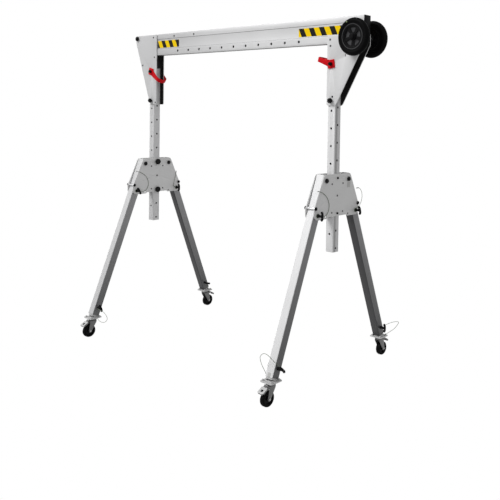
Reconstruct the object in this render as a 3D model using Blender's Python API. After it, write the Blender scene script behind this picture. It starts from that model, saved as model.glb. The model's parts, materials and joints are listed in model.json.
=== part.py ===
"""Portable gantry crane: a beam on two height-adjustable A-frames with folding legs.

Metres, +Z up. X runs along the beam and Y across it; the front is -Y. The origin is on the
ground, under the middle of the crane's bounding box.
"""
import math

import bmesh
import bpy
from mathutils import Matrix, Vector

# ---------------------------------------------------------------- driving dimensions
CLEAR = 0.0003              # gap kept between pieces that touch
SLIP = 0.0005               # radial room of a pin in its hole, and of the mast in its guide
RING = 12                   # sides of bolts, pins and their holes
COARSE_RING = 8             # sides of the holes in rows

MAST_SPAN = 1.994           # distance between the two masts
MAST = 0.063                # mast section
MAST_WALL = 0.004
MAST_CORNER = 0.005
MAST_TOP_GAP = 0.1098       # mast's upper end below the beam
MAST_END = 0.0274           # mast's lower end below its lowest hole
HOLE_PITCH = 0.120          # height step of the mast's holes
HOLES_DOWN = 5              # holes below the one just above the hub
HOLES_UP = 2                # holes above it
SIDE_HOLE_DROP = 0.023      # the holes through the front face sit this much lower
MAST_PIN_R = 0.007
MAST_HOLE_R = 0.0080

MAST_TO_PLATE = 0.002       # room between the mast and each side of the beam's width
BEAM_DEPTH = 0.1756
BEAM_BOTTOM = 2.2938
BEAM_LEFT_OVER = 0.197      # beam's ends beyond the masts' middles
BEAM_RIGHT_OVER = 0.263
BEAM_WALL = 0.004
BEAM_TOP_BAND = 0.041
BEAM_LOW_BAND = 0.052
BEAM_RECESS = 0.0025
BEAM_SLOT = 0.026           # width of the trolley slot in the underside
BEAM_HOLE_UP = 0.0276       # hole row above the beam's underside
BEAM_HOLE_R = 0.0085
BEAM_HOLE_PITCH = 0.1343
BEAM_HOLE_START = 0.3453    # first hole from the left mast
BEAM_HOLE_END = 0.30        # least room from the last hole to the right mast

PLATE = 0.006               # thickness of the end plates and of the hub plates
PLATE_CORNER = 0.012
PLATE_DROP = 0.4178         # lower edge of the end plates below the beam
LEFT_PLATE_IN = 0.070       # inner edge, measured from the mast's middle
LEFT_PLATE_TOE = 0.010      # width left outside the mast's middle at the lower edge
LEFT_PLATE_OUT = 0.219      # outer corner
LEFT_PLATE_SHOULDER = 0.1162    # heights above the beam's underside
RIGHT_PLATE_IN = 0.038
RIGHT_PLATE_TOE = 0.034
RIGHT_PLATE_OUT = 0.266
RIGHT_PLATE_SHOULDER = -0.0178
RIGHT_PLATE_TOP = 0.0582
PLATE_PIN_UP = 0.032        # lock pin above the end plates' lower edge
PLATE_PIN_R = 0.007
PLATE_KNOB_R = 0.0175
PLATE_KNOB_LONG = 0.022
PLATE_PIN_TAIL = 0.009
LEVER_DOWN = 0.1378         # lever pin below the beam
LEVER_PIN_R = 0.009
LEVER_REACH = 0.142
LEVER_STRAIGHT = 0.102      # straight part of the lever, before its bow
LEVER_BAR = 0.006
LEVER_WIDTH = 0.032         # strap's width
LEVER_ROOT = 0.050          # arm's width at the pin
LEVER_BLOCK = 0.058         # square head round the pin
LEVER_BLOCK_TURN = 30.0     # turn of the head against the lever's arm
LEVER_TAIL = 0.018          # pin's end beyond the head
LEVER_LEFT_TURN = 38.0      # about +Y, from the +X direction
LEVER_RIGHT_TURN = -163.0

WHEEL_R = 0.124
WHEEL_WIDTH = 0.045
WHEEL_OFFSET = 0.0996       # wheel's middle plane, each side of the beam
WHEEL_RIM_R = 0.080
WHEEL_HUB_R = 0.022
WHEEL_DISH = 0.010          # half thickness of the wheel's disc
WHEEL_SPOKES = 5
AXLE_R = 0.010
AXLE_COLLAR_R = 0.016
AXLE_HEAD_R = 0.015
AXLE_HEAD = 0.010
AXLE_OUT = 0.2322           # axle beyond the right mast

GUIDE_WALL = 0.0018
GUIDE_TO_LEG = 0.005        # room between the guide block and the legs' upper ends
GUIDE_UP = 0.016            # guide block's ends inside the hub plates' edges
GUIDE_DOWN = 0.017
HUB_LOW_PIN = 1.1434        # height of the lower mast pin
HUB_PIN_STEPS = 2           # hole pitches between the mast pins
HUB_ABOVE_PIN = 0.0296
HUB_BELOW_PIN = 0.0284
HUB_ARCH = 0.010
HUB_ARCH_OUT = 0.118        # where the lower edge drops to the lobes
HUB_SHOULDER = 0.0312       # shoulder beyond the leg pivot
HUB_HIP = 0.0361            # hip beyond the lock pin
HUB_CORNER = 0.030
HUB_LOBE = 0.040
HUB_HIP_DOWN = 0.1913       # hip's height below the leg pivot
MAST_KNOB_R = 0.024
MAST_KNOB_LONG = 0.024

LEG = 0.0635                # leg section
LEG_SIDE = 0.002            # least room between a leg and each hub plate
LEG_WALL = 0.004
LEG_CORNER = 0.006
LEG_PIVOT_Y = 0.1198
LEG_PIVOT_DOWN = 0.0121     # leg pivot below the upper mast pin
LEG_SPLAY = 20.8            # degrees from the vertical
LEG_HEAD = 0.033            # leg's upper end beyond its pivot
LEG_FOOT_UP = 0.016         # leg's lower end above the foot plate
LEG_BOLT_R = 0.008
LEG_CAP_R = 0.0155
LEG_CAP = 0.013
LOCK_REACH = 0.241          # pivot to lock pin
LOCK_PIN_R = 0.006
STOP_REACH = 0.204          # pivot to stop stud, along the leg
STOP_R = 0.0075
STOP_END = 0.010            # stud's end beyond the hub plates
STOP_CAP_R = 0.012
LOCK_COLLAR_R = 0.0105
LOCK_COLLAR = 0.031
LOCK_BAR_R = 0.0092
LOCK_BAR = 0.066

INSERT_SLIP = 0.0015        # room round the foot's insert in the leg
FOOT_INSERT_UP = 0.150      # insert's length inside the leg
FOOT_INSERT_DOWN = 0.030    # its lower part, trimmed level under the plate
FOOT_PLATE = 0.100
FOOT_PLATE_THICK = 0.008
FOOT_OVER_WHEEL = 0.055     # foot plate's top above the castor wheel
FOOT_PIN_UP = 0.073         # foot pin above the plate
FOOT_PIN_TAIL = 0.018

CASTOR_R = 0.050
CASTOR_WIDTH = 0.034
CASTOR_TRAIL = 0.034
CASTOR_AXLE_R = 0.006
CASTOR_AXLE_END = 0.005     # axle's ends beyond the fork
CASTOR_HUB_R = 0.014
CASTOR_HUB_OUT = 0.0015     # hub's faces beyond the tread
FORK_SIDE = 0.003
FORK_GAP = 0.0025
FORK_HEAD_R = 0.030
FORK_HEAD = 0.016
FORK_CROWN = 0.012
FORK_CROWN_LONG = 0.052
FORK_TIP = 0.014            # half width of the fork's cheek at the axle
PEDAL_WIDTH = 0.030         # at its hinge
PEDAL_NECK = 0.014          # length of the narrow part
PEDAL_PAD = 0.050           # length and width of the broad part
PEDAL_THICK = 0.004
PEDAL_LIP = 0.012           # depth of the pad's turned-down edges
PEDAL_TILT = 30.0
PEDAL_HINGE_R = 0.005
PEDAL_HINGE_OUT = 0.0415    # pedal's hinge from the swivel
PEDAL_HINGE_DOWN = 0.0143   # and below the foot plate

CORD_R = 0.0015
CORD_OFF = 0.0012           # room between a lanyard and its hub plate
CORD_RING = 0.0135          # ring round the lock pin
CORD_LEAD = 0.016           # straight run into the ring

# ---------------------------------------------------------------- derived dimensions
SPLAY = math.radians(LEG_SPLAY)
FRAME_X = (LEFT_PLATE_OUT - AXLE_OUT - WHEEL_R) / 2
MAST_X = {"left": FRAME_X - MAST_SPAN / 2, "right": FRAME_X + MAST_SPAN / 2}
BEAM_LEFT = MAST_X["left"] - BEAM_LEFT_OVER
BEAM_RIGHT = MAST_X["right"] + BEAM_RIGHT_OVER
BEAM_WIDTH = MAST + 2 * MAST_TO_PLATE
BEAM_HOLES = 1 + int((MAST_SPAN - BEAM_HOLE_START - BEAM_HOLE_END) / BEAM_HOLE_PITCH)
AXLE_X = MAST_X["right"] + AXLE_OUT
AXLE_Z = BEAM_BOTTOM + BEAM_HOLE_UP
END_PLATE_IN = BEAM_WIDTH / 2 + CLEAR
END_PLATE_OUT = END_PLATE_IN + PLATE
PLATE_FOOT = BEAM_BOTTOM - PLATE_DROP
PLATE_PIN_Z = PLATE_FOOT + PLATE_PIN_UP
LEVER_Z = BEAM_BOTTOM - LEVER_DOWN
HUB_PINS_Z = {"lower": HUB_LOW_PIN, "upper": HUB_LOW_PIN + HUB_PIN_STEPS * HOLE_PITCH}
HUB_TOP = HUB_PINS_Z["upper"] + HUB_ABOVE_PIN
HUB_BOTTOM = HUB_PINS_Z["lower"] - HUB_BELOW_PIN
HUB_IN = max(MAST / 2 + SLIP + GUIDE_WALL, LEG / 2 + LEG_SIDE) + CLEAR
HUB_OUT = HUB_IN + PLATE
HOLE_BASE = HUB_PINS_Z["upper"] + HOLE_PITCH
MAST_BOTTOM = HOLE_BASE - HOLES_DOWN * HOLE_PITCH - MAST_END
MAST_TOP = BEAM_BOTTOM - MAST_TOP_GAP
LEG_PIVOT_Z = HUB_PINS_Z["upper"] - LEG_PIVOT_DOWN
GUIDE_HALF = LEG_PIVOT_Y - LEG_HEAD * math.sin(SPLAY) - LEG / 2 * math.cos(SPLAY) - GUIDE_TO_LEG
FOOT_INSERT = LEG - 2 * LEG_WALL - 2 * INSERT_SLIP
FOOT_PLATE_TOP = 2 * CASTOR_R + FOOT_OVER_WHEEL
LEG_LONG = (LEG_PIVOT_Z - FOOT_PLATE_TOP - LEG_FOOT_UP) / math.cos(SPLAY)
FOOT_PIN_REACH = (LEG_PIVOT_Z - FOOT_PLATE_TOP - FOOT_PIN_UP) / math.cos(SPLAY)
SWIVEL_Y = LEG_PIVOT_Y + (LEG_PIVOT_Z - FOOT_PLATE_TOP) * math.tan(SPLAY)
STOP_OUT = LEG / 2 + STOP_R + CLEAR
SIDES = {"left": -1, "right": 1}
ENDS = {"front": -1, "rear": 1}

# ---------------------------------------------------------------- scene and collections
for old in list(bpy.data.objects):
    bpy.data.objects.remove(old, do_unlink=True)


def new_collection(name):
    collection = bpy.data.collections.new(name)
    bpy.context.scene.collection.children.link(collection)
    return collection


PARTS = new_collection("portable_gantry_crane")
CUTTERS = new_collection("cutters")


def material(name, colour, roughness, metallic):
    mat = bpy.data.materials.new(name)
    mat.use_nodes = True
    shader = mat.node_tree.nodes["Principled BSDF"]
    shader.inputs["Base Color"].default_value = (*colour, 1.0)
    shader.inputs["Roughness"].default_value = roughness
    shader.inputs["Metallic"].default_value = metallic
    return mat


ALUMINIUM = ((0.68, 0.68, 0.69), 0.42, 0.6)
PLATE_ALUMINIUM = ((0.55, 0.55, 0.56), 0.5, 0.6)
STEEL = ((0.60, 0.60, 0.62), 0.3, 0.9)
ZINC = ((0.62, 0.63, 0.64), 0.35, 0.9)
BLACK_PLASTIC = ((0.015, 0.015, 0.016), 0.5, 0.0)
RUBBER = ((0.02, 0.02, 0.022), 0.75, 0.0)
RED = ((0.72, 0.02, 0.03), 0.35, 0.1)
CORD_GREY = ((0.25, 0.30, 0.24), 0.5, 0.3)


# ---------------------------------------------------------------- shape helpers
def mesh_of(bm, name):
    bmesh.ops.recalc_face_normals(bm, faces=bm.faces)
    mesh = bpy.data.meshes.new(name)
    bm.to_mesh(mesh)
    bm.free()
    return mesh


def box(size, centre=(0, 0, 0), turn=None):
    """A box of the given size; turn is a matrix applied before it is moved to its centre."""
    bm = bmesh.new()
    bmesh.ops.create_cube(bm, size=1.0)
    bmesh.ops.scale(bm, vec=size, verts=bm.verts)
    if turn is not None:
        bmesh.ops.transform(bm, matrix=turn, verts=bm.verts)
    bmesh.ops.translate(bm, vec=centre, verts=bm.verts)
    return mesh_of(bm, "box")


AXES = {"X": Matrix.Rotation(math.pi / 2, 4, "Y"), "Y": Matrix.Rotation(-math.pi / 2, 4, "X"),
        "Z": Matrix.Identity(4)}


def cylinder(radius, length, axis="Z", centre=(0, 0, 0), sides=RING):
    bm = bmesh.new()
    bmesh.ops.create_cone(bm, cap_ends=True, segments=sides, radius1=radius, radius2=radius,
                          depth=length)
    bmesh.ops.transform(bm, matrix=AXES[axis], verts=bm.verts)
    bmesh.ops.translate(bm, vec=centre, verts=bm.verts)
    return mesh_of(bm, "cylinder")


def joined(meshes):
    """Several separate closed shapes in one mesh, used as one cutter."""
    bm = bmesh.new()
    for mesh in meshes:
        bm.from_mesh(mesh)
    return mesh_of(bm, "group")


def extrusion(outlines, thickness, place):
    """Flat closed outlines, later ones being holes, extruded and placed by a matrix."""
    curve = bpy.data.curves.new("outline", "CURVE")
    curve.dimensions = "2D"
    curve.fill_mode = "BOTH"
    curve.extrude = thickness / 2
    for outline in outlines:
        spline = curve.splines.new("POLY")
        spline.points.add(len(outline) - 1)
        for point, (u, v) in zip(spline.points, outline):
            point.co = (u, v, 0, 1)
        spline.use_cyclic_u = True
    return from_curve(curve, place)


def from_curve(curve, place=None):
    holder = bpy.data.objects.new("outline", curve)
    CUTTERS.objects.link(holder)
    graph = bpy.context.evaluated_depsgraph_get()
    mesh = bpy.data.meshes.new_from_object(holder.evaluated_get(graph))
    bpy.data.objects.remove(holder, do_unlink=True)
    bpy.data.curves.remove(curve)
    bm = bmesh.new()
    bm.from_mesh(mesh)
    bmesh.ops.remove_doubles(bm, verts=bm.verts, dist=1e-5)
    if place is not None:
        bmesh.ops.transform(bm, matrix=place, verts=bm.verts)
    return mesh_of(bm, "curve")


def turned(profile, axis="Z", centre=(0, 0, 0), sides=RING):
    """A solid of revolution: profile is (radius, height) from bottom to top, both on the axis."""
    bm = bmesh.new()
    verts = [bm.verts.new((r, 0, h)) for r, h in profile]
    edges = [bm.edges.new(pair) for pair in zip(verts, verts[1:])]
    bmesh.ops.spin(bm, geom=verts + edges, cent=(0, 0, 0), axis=(0, 0, 1),
                   angle=2 * math.pi, steps=sides, use_merge=True)
    bmesh.ops.remove_doubles(bm, verts=bm.verts, dist=1e-6)
    bmesh.ops.transform(bm, matrix=AXES[axis], verts=bm.verts)
    bmesh.ops.translate(bm, vec=centre, verts=bm.verts)
    return mesh_of(bm, "turned")


def arc(centre, radius, start, end, steps):
    """Points of an arc, angles in degrees."""
    points = []
    for i in range(steps + 1):
        angle = math.radians(start + (end - start) * i / steps)
        points.append((centre[0] + radius * math.cos(angle), centre[1] + radius * math.sin(angle)))
    return points


def rounded_square(size, radius, steps=3):
    half = size / 2 - radius
    points = []
    for k, (sx, sy) in enumerate(((1, 1), (-1, 1), (-1, -1), (1, -1))):
        points += arc((sx * half, sy * half), radius, 90 * k, 90 * k + 90, steps)
    return points


def link_part(name, mesh, look, smooth=True):
    obj = bpy.data.objects.new(name, mesh)
    PARTS.objects.link(obj)
    mesh.materials.clear()
    mesh.materials.append(material(name + "_material", *look))
    if smooth:
        mesh.shade_smooth()
        mesh.set_sharp_from_angle(angle=math.radians(30))
    return obj


def add_boolean(obj, mesh, operation, label):
    tool = bpy.data.objects.new(obj.name + "_" + label, mesh)
    CUTTERS.objects.link(tool)
    tool.hide_render = True
    tool.display_type = "WIRE"
    tool.parent = obj.parent
    tool.location = obj.location
    tool.rotation_euler = obj.rotation_euler
    step = obj.modifiers.new(label, "BOOLEAN")
    step.operation = operation
    step.solver = "EXACT"
    step.object = tool


def part(name, body, look, add=(), cut=(), parent=None, location=(0, 0, 0), rotation=(0, 0, 0)):
    """One named sub-part: a body, the shapes welded to it and the shapes cut from it."""
    obj = link_part(name, body, look)
    obj.parent = parent
    obj.location = location
    obj.rotation_euler = rotation
    for i, shape in enumerate(add):
        add_boolean(obj, shape, "UNION", "add%d" % i)
    if cut:
        add_boolean(obj, joined(cut), "DIFFERENCE", "cut")
    return obj


def empty(name, location, rotation=(0, 0, 0), parent=None):
    holder = bpy.data.objects.new(name, None)
    PARTS.objects.link(holder)
    holder.parent = parent
    holder.location = location
    holder.rotation_euler = rotation
    return holder


# profile planes: outline (u, v) -> world axes, extruded along the third
ALONG_X = Matrix(((0, 0, 1, 0), (1, 0, 0, 0), (0, 1, 0, 0), (0, 0, 0, 1)))    # u=Y v=Z
ALONG_Y = Matrix(((1, 0, 0, 0), (0, 0, -1, 0), (0, 1, 0, 0), (0, 0, 0, 1)))   # u=X v=Z
ALONG_Z = Matrix.Identity(4)                                                  # u=X v=Y


# ---------------------------------------------------------------- beam
def make_beam():
    half = BEAM_WIDTH / 2
    waist = half - BEAM_RECESS
    low, high = BEAM_LOW_BAND, BEAM_DEPTH - BEAM_TOP_BAND
    slot = BEAM_SLOT / 2
    right = [(slot, 0), (half, 0), (half, low), (waist, low + BEAM_RECESS),
             (waist, high - BEAM_RECESS), (half, high), (half, BEAM_DEPTH)]
    left = [(-u, v) for u, v in reversed(right)]
    inner = half - BEAM_WALL
    track_top = low - BEAM_WALL
    track = [(-slot, BEAM_WALL), (-inner, BEAM_WALL), (-inner, track_top),
             (inner, track_top), (inner, BEAM_WALL), (slot, BEAM_WALL)]
    core = waist - BEAM_WALL
    hollow = [(-core, low + BEAM_WALL), (core, low + BEAM_WALL),
              (core, BEAM_DEPTH - BEAM_WALL), (-core, BEAM_DEPTH - BEAM_WALL)]
    length = BEAM_RIGHT - BEAM_LEFT
    middle = (BEAM_RIGHT + BEAM_LEFT) / 2
    place = Matrix.Translation((middle, 0, BEAM_BOTTOM)) @ ALONG_X
    body = extrusion([right + left + track, hollow], length, place)
    hole_z = BEAM_BOTTOM + BEAM_HOLE_UP
    cuts = []
    for i in range(BEAM_HOLES):
        x = MAST_X["left"] + BEAM_HOLE_START + i * BEAM_HOLE_PITCH
        cuts.append(cylinder(BEAM_HOLE_R, 2 * BEAM_WIDTH, "Y", (x, 0, hole_z), COARSE_RING))
    cuts.append(cylinder(AXLE_R + SLIP, 2 * BEAM_WIDTH, "Y", (AXLE_X, 0, AXLE_Z)))
    part("beam", body, ALUMINIUM, cut=cuts)


# ---------------------------------------------------------------- masts and end plates
def make_mast(side):
    x = MAST_X[side]
    height = MAST_TOP - MAST_BOTTOM
    place = Matrix.Translation((x, 0, (MAST_TOP + MAST_BOTTOM) / 2)) @ ALONG_Z
    section = [rounded_square(MAST, MAST_CORNER, 2),
               rounded_square(MAST - 2 * MAST_WALL, MAST_CORNER - MAST_WALL, 1)]
    cuts = []
    for k in range(-HOLES_DOWN, HOLES_UP + 1):
        z = HOLE_BASE + k * HOLE_PITCH
        cuts.append(cylinder(MAST_HOLE_R, 2 * MAST, "X", (x, 0, z), COARSE_RING))
        side_z = z - SIDE_HOLE_DROP
        if side_z > MAST_BOTTOM + MAST_WALL + MAST_HOLE_R:
            cuts.append(cylinder(MAST_HOLE_R, 2 * MAST, "Y", (x, 0, side_z), COARSE_RING))
    cuts.append(cylinder(PLATE_PIN_R + SLIP, 2 * MAST, "Y", (x, 0, PLATE_PIN_Z)))
    cuts.append(cylinder(LEVER_PIN_R + SLIP, 2 * MAST, "Y", (x, 0, LEVER_Z)))
    part("mast_" + side, extrusion(section, height, place), ALUMINIUM, cut=cuts)


def end_plate_outline(side):
    """Outline in X and Z; X is measured from the mast, positive away from the beam's middle."""
    corner = PLATE_CORNER
    if side == "left":
        inner, toe, outer = LEFT_PLATE_IN, LEFT_PLATE_TOE, LEFT_PLATE_OUT
        shoulder, top = BEAM_BOTTOM + LEFT_PLATE_SHOULDER, BEAM_BOTTOM + BEAM_DEPTH
    else:
        inner, toe, outer = RIGHT_PLATE_IN, RIGHT_PLATE_TOE, RIGHT_PLATE_OUT
        shoulder, top = BEAM_BOTTOM + RIGHT_PLATE_SHOULDER, BEAM_BOTTOM + RIGHT_PLATE_TOP
    points = arc((-inner + corner, PLATE_FOOT + corner), corner, 180, 270, 3)
    points += [(toe, PLATE_FOOT), (toe + corner, PLATE_FOOT + corner), (outer, shoulder)]
    points += arc((outer - corner, top - corner), corner, 0, 90, 3)
    points.append((-inner, top))
    return points


def make_end_plate(side, end):
    sign = SIDES[side]
    x = MAST_X[side]
    y = ENDS[end] * (END_PLATE_IN + PLATE / 2)
    outline = [(sign * u, v) for u, v in end_plate_outline(side)]
    body = extrusion([outline], PLATE, Matrix.Translation((x, y, 0)) @ ALONG_Y)
    cuts = [cylinder(PLATE_PIN_R + SLIP, 0.05, "Y", (x, y, PLATE_PIN_Z)),
            cylinder(LEVER_PIN_R + SLIP, 0.05, "Y", (x, y, LEVER_Z))]
    if side == "right":
        cuts.append(cylinder(AXLE_R + SLIP, 0.05, "Y", (AXLE_X, y, AXLE_Z)))
    part("end_plate_%s_%s" % (side, end), body, ALUMINIUM, cut=cuts)


def make_plate_pin(side):
    """Lock pin through both end plates and the mast, with a round knob at the front."""
    face = END_PLATE_OUT + CLEAR
    edge = PLATE_KNOB_LONG / 4
    profile = [(0, -face - PLATE_KNOB_LONG), (PLATE_KNOB_R - edge, -face - PLATE_KNOB_LONG),
               (PLATE_KNOB_R, -face - PLATE_KNOB_LONG + edge), (PLATE_KNOB_R, -face - edge),
               (PLATE_PIN_R + 0.003, -face), (PLATE_PIN_R, -face),
               (PLATE_PIN_R, face + PLATE_PIN_TAIL), (0, face + PLATE_PIN_TAIL)]
    body = turned(profile, "Y")
    part("plate_pin_" + side, body, BLACK_PLASTIC, location=(MAST_X[side], 0, PLATE_PIN_Z))


def make_lever(side, turn):
    """Bail handle: a pin with a square head each side and a strap bowed round the end."""
    inner = END_PLATE_OUT + CLEAR
    outer = inner + LEVER_BAR
    bow = LEVER_REACH - LEVER_STRAIGHT
    half = LEVER_WIDTH / 2
    angles = [math.radians(18 * i) for i in range(11)]
    outline = [(LEVER_STRAIGHT + bow * math.sin(t), -outer * math.cos(t)) for t in angles]
    inset = [(LEVER_STRAIGHT + (bow - LEVER_BAR) * math.sin(t), inner * math.cos(t))
             for t in angles]
    outline = [(0, -outer)] + outline + [(0, outer), (0, inner)] + inset + [(0, -inner)]
    strap = extrusion([outline], LEVER_WIDTH, ALONG_Z)
    head_turn = Matrix.Rotation(-math.radians(LEVER_BLOCK_TURN), 4, "Y")
    heads = []
    for y in (-inner - LEVER_BAR / 2, inner + LEVER_BAR / 2):
        heads.append(box((LEVER_BLOCK, LEVER_BAR, LEVER_BLOCK), (0, y, 0), head_turn))
        arm = [(0, -LEVER_ROOT / 2), (LEVER_STRAIGHT, -half), (LEVER_STRAIGHT, half),
               (0, LEVER_ROOT / 2)]
        heads.append(extrusion([arm], LEVER_BAR, Matrix.Translation((0, y, 0)) @ ALONG_Y))
    pin = cylinder(LEVER_PIN_R, 2 * (outer + LEVER_TAIL), "Y")
    part("lever_" + side, pin, RED, add=heads + [strap], location=(MAST_X[side], 0, LEVER_Z),
         rotation=(0, math.radians(turn), 0))


# ---------------------------------------------------------------- transport wheels
def make_axle():
    reach = WHEEL_OFFSET + WHEEL_WIDTH / 2
    wheel_in = WHEEL_OFFSET - WHEEL_WIDTH / 2 - CLEAR
    plate = END_PLATE_OUT + CLEAR
    end = reach + AXLE_HEAD
    profile = [(0, -end), (AXLE_HEAD_R - 0.002, -end), (AXLE_HEAD_R, -reach - CLEAR),
               (AXLE_R, -reach - CLEAR), (AXLE_R, -wheel_in), (AXLE_COLLAR_R, -wheel_in),
               (AXLE_COLLAR_R, -plate), (AXLE_R, -plate)]
    profile += [(r, -h) for r, h in reversed(profile)]
    part("wheel_axle", turned(profile, "Y"), STEEL, location=(AXLE_X, 0, AXLE_Z))


def make_transport_wheel(end):
    half = WHEEL_WIDTH / 2
    dish = WHEEL_DISH
    bore = AXLE_R + SLIP
    tread = arc((WHEEL_R - half, 0), half, -75, 75, 4)
    profile = [(bore, -half), (WHEEL_HUB_R, -half), (WHEEL_HUB_R, -dish), (WHEEL_RIM_R, -dish),
               (WHEEL_RIM_R, -half + 0.003)] + tread
    profile += [(WHEEL_RIM_R, half - 0.003), (WHEEL_RIM_R, dish), (WHEEL_HUB_R, dish),
                (WHEEL_HUB_R, half), (bore, half), (bore, -half)]
    body = turned(profile, "Y", sides=24)
    windows = []
    for i in range(WHEEL_SPOKES):
        spread = 180 / WHEEL_SPOKES - 12
        outer = arc((0, 0), WHEEL_RIM_R - 0.008, -spread, spread, 3)
        inner = arc((0, 0), WHEEL_HUB_R + 0.010, spread * 0.6, -spread * 0.6, 1)
        angle = math.radians(90 + (i + 0.5) * 360 / WHEEL_SPOKES)
        place = Matrix.Rotation(angle, 4, "Y") @ ALONG_Y
        windows.append(extrusion([outer + inner], WHEEL_WIDTH, place))
    y = ENDS[end] * WHEEL_OFFSET
    part("transport_wheel_" + end, body, RUBBER, cut=windows,
         location=(AXLE_X, y, AXLE_Z))


# ---------------------------------------------------------------- hubs
def hub_outline():
    """Trapezoid with round shoulders, round lobes round the lock pins and an arched foot."""
    shoulder = LEG_PIVOT_Y + HUB_SHOULDER
    hip = leg_point(LOCK_REACH)[0] + HUB_HIP
    half = arc((shoulder - HUB_CORNER, HUB_TOP - HUB_CORNER), HUB_CORNER, 90, 22, 4)
    half += arc((hip - HUB_LOBE, LEG_PIVOT_Z - HUB_HIP_DOWN), HUB_LOBE, 20, 0, 2)
    half += arc((hip - HUB_LOBE, HUB_BOTTOM + HUB_LOBE), HUB_LOBE, 0, -90, 5)
    half += arc((HUB_ARCH_OUT, HUB_BOTTOM + HUB_ARCH), HUB_ARCH, -90, -180, 2)[1:-1]
    half.append((HUB_ARCH_OUT - 2 * HUB_ARCH, HUB_BOTTOM + HUB_ARCH))
    return half + [(-u, v) for u, v in reversed(half)]


def leg_point(reach, out=0.0):
    """Point on a leg's axis line, reach below the pivot, out from it; returns Y and Z."""
    y = LEG_PIVOT_Y + reach * math.sin(SPLAY) + out * math.cos(SPLAY)
    z = LEG_PIVOT_Z - reach * math.cos(SPLAY) + out * math.sin(SPLAY)
    return y, z


def lock_slot(x, sign):
    """Arc slot about a leg's pivot, from the lock pin's place to its folded place."""
    radius = LOCK_PIN_R + SLIP
    steps = 5
    centre = (0.0, 0.0)
    outer = arc(centre, LOCK_REACH + radius, -90, -90 + LEG_SPLAY, steps)
    round_end = arc((LOCK_REACH * math.sin(SPLAY), -LOCK_REACH * math.cos(SPLAY)), radius,
                    -90 + LEG_SPLAY, 90 + LEG_SPLAY, 6)
    inner = arc(centre, LOCK_REACH - radius, -90 + LEG_SPLAY, -90, steps)
    round_start = arc((0, -LOCK_REACH), radius, 90, 270, 6)
    outline = outer + round_end[1:-1] + inner + round_start[1:-1]
    outline = [(sign * u, v) for u, v in outline]
    place = Matrix.Translation((x, sign * LEG_PIVOT_Y, LEG_PIVOT_Z)) @ ALONG_X
    return extrusion([outline], 4 * PLATE, place)


def make_hub_plate(side, face):
    """face is -1 for the plate with the stop studs and +1 for the plain one."""
    x = MAST_X[side] + face * (HUB_IN + PLATE / 2)
    body = extrusion([hub_outline()], PLATE, Matrix.Translation((x, 0, 0)) @ ALONG_X)
    cuts = []
    studs = []
    end = HUB_OUT + STOP_END
    stud = [(0, -end), (STOP_CAP_R, -end), (STOP_CAP_R, -HUB_OUT - CLEAR), (STOP_R, -HUB_OUT - CLEAR)]
    stud += [(r, -h) for r, h in reversed(stud)]
    for step in range(HUB_PIN_STEPS + 1):
        z = HUB_LOW_PIN + step * HOLE_PITCH
        cuts.append(cylinder(MAST_HOLE_R, 0.05, "X", (x, 0, z), COARSE_RING))
    for sign in (-1, 1):
        cuts.append(cylinder(LEG_BOLT_R + SLIP, 0.05, "X", (x, sign * LEG_PIVOT_Y, LEG_PIVOT_Z)))
        cuts.append(lock_slot(x, sign))
        y, z = leg_point(STOP_REACH, STOP_OUT)
        if face > 0:
            cuts.append(cylinder(STOP_R + SLIP, 0.05, "X", (x, sign * y, z)))
        else:
            studs.append(turned(stud, "X", (MAST_X[side], sign * y, z)))
    name = "hub_plate_%s_%s" % (side, "plain" if face > 0 else "studs")
    part(name, body, PLATE_ALUMINIUM, add=studs, cut=cuts)


def make_guide(side):
    """Block between the hub plates with a window that the mast slides through."""
    x = MAST_X[side]
    low, high = HUB_BOTTOM + GUIDE_UP, HUB_TOP - GUIDE_DOWN
    height = high - low
    middle = (high + low) / 2
    width = 2 * (HUB_IN - CLEAR)
    window = MAST + 2 * SLIP
    cuts = [box((window, window, 2 * height), (x, 0, middle))]
    for step in range(HUB_PIN_STEPS + 1):
        z = HUB_LOW_PIN + step * HOLE_PITCH
        cuts.append(cylinder(MAST_HOLE_R, 2 * width, "X", (x, 0, z), COARSE_RING))
    body = box((width, 2 * GUIDE_HALF, height), (x, 0, middle))
    obj = link_part("guide_" + side, body, PLATE_ALUMINIUM)
    for i, shape in enumerate(cuts):
        add_boolean(obj, shape, "DIFFERENCE", "cut%d" % i)


def make_mast_pin(side, level):
    """Pin through the hub and the mast; its knob is on the side towards the crane's middle."""
    sign = -SIDES[side]
    face = HUB_OUT + CLEAR
    profile = [(0, -face - 0.008), (MAST_PIN_R - 0.002, -face - 0.008),
               (MAST_PIN_R, -face - 0.005), (MAST_PIN_R, face), (MAST_KNOB_R - 0.004, face),
               (MAST_KNOB_R, face + 0.005), (MAST_KNOB_R, face + MAST_KNOB_LONG - 0.006),
               (MAST_KNOB_R - 0.006, face + MAST_KNOB_LONG), (0, face + MAST_KNOB_LONG)]
    body = turned(profile, "X", sides=20)
    turn = 0 if sign > 0 else math.pi
    place = (MAST_X[side], 0, HUB_PINS_Z[level])
    part("mast_pin_%s_%s" % (side, level), body, BLACK_PLASTIC, location=place,
         rotation=(0, 0, turn))


# ---------------------------------------------------------------- legs and feet
def make_leg_bolt(name, x, y):
    face = HUB_OUT + CLEAR
    profile = [(0, -face - LEG_CAP), (LEG_CAP_R - 0.005, -face - LEG_CAP),
               (LEG_CAP_R, -face - LEG_CAP + 0.005), (LEG_CAP_R, -face), (LEG_BOLT_R, -face)]
    profile += [(r, -h) for r, h in reversed(profile)]
    part(name, turned(profile, "X"), BLACK_PLASTIC, location=(x, y, LEG_PIVOT_Z))


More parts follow.
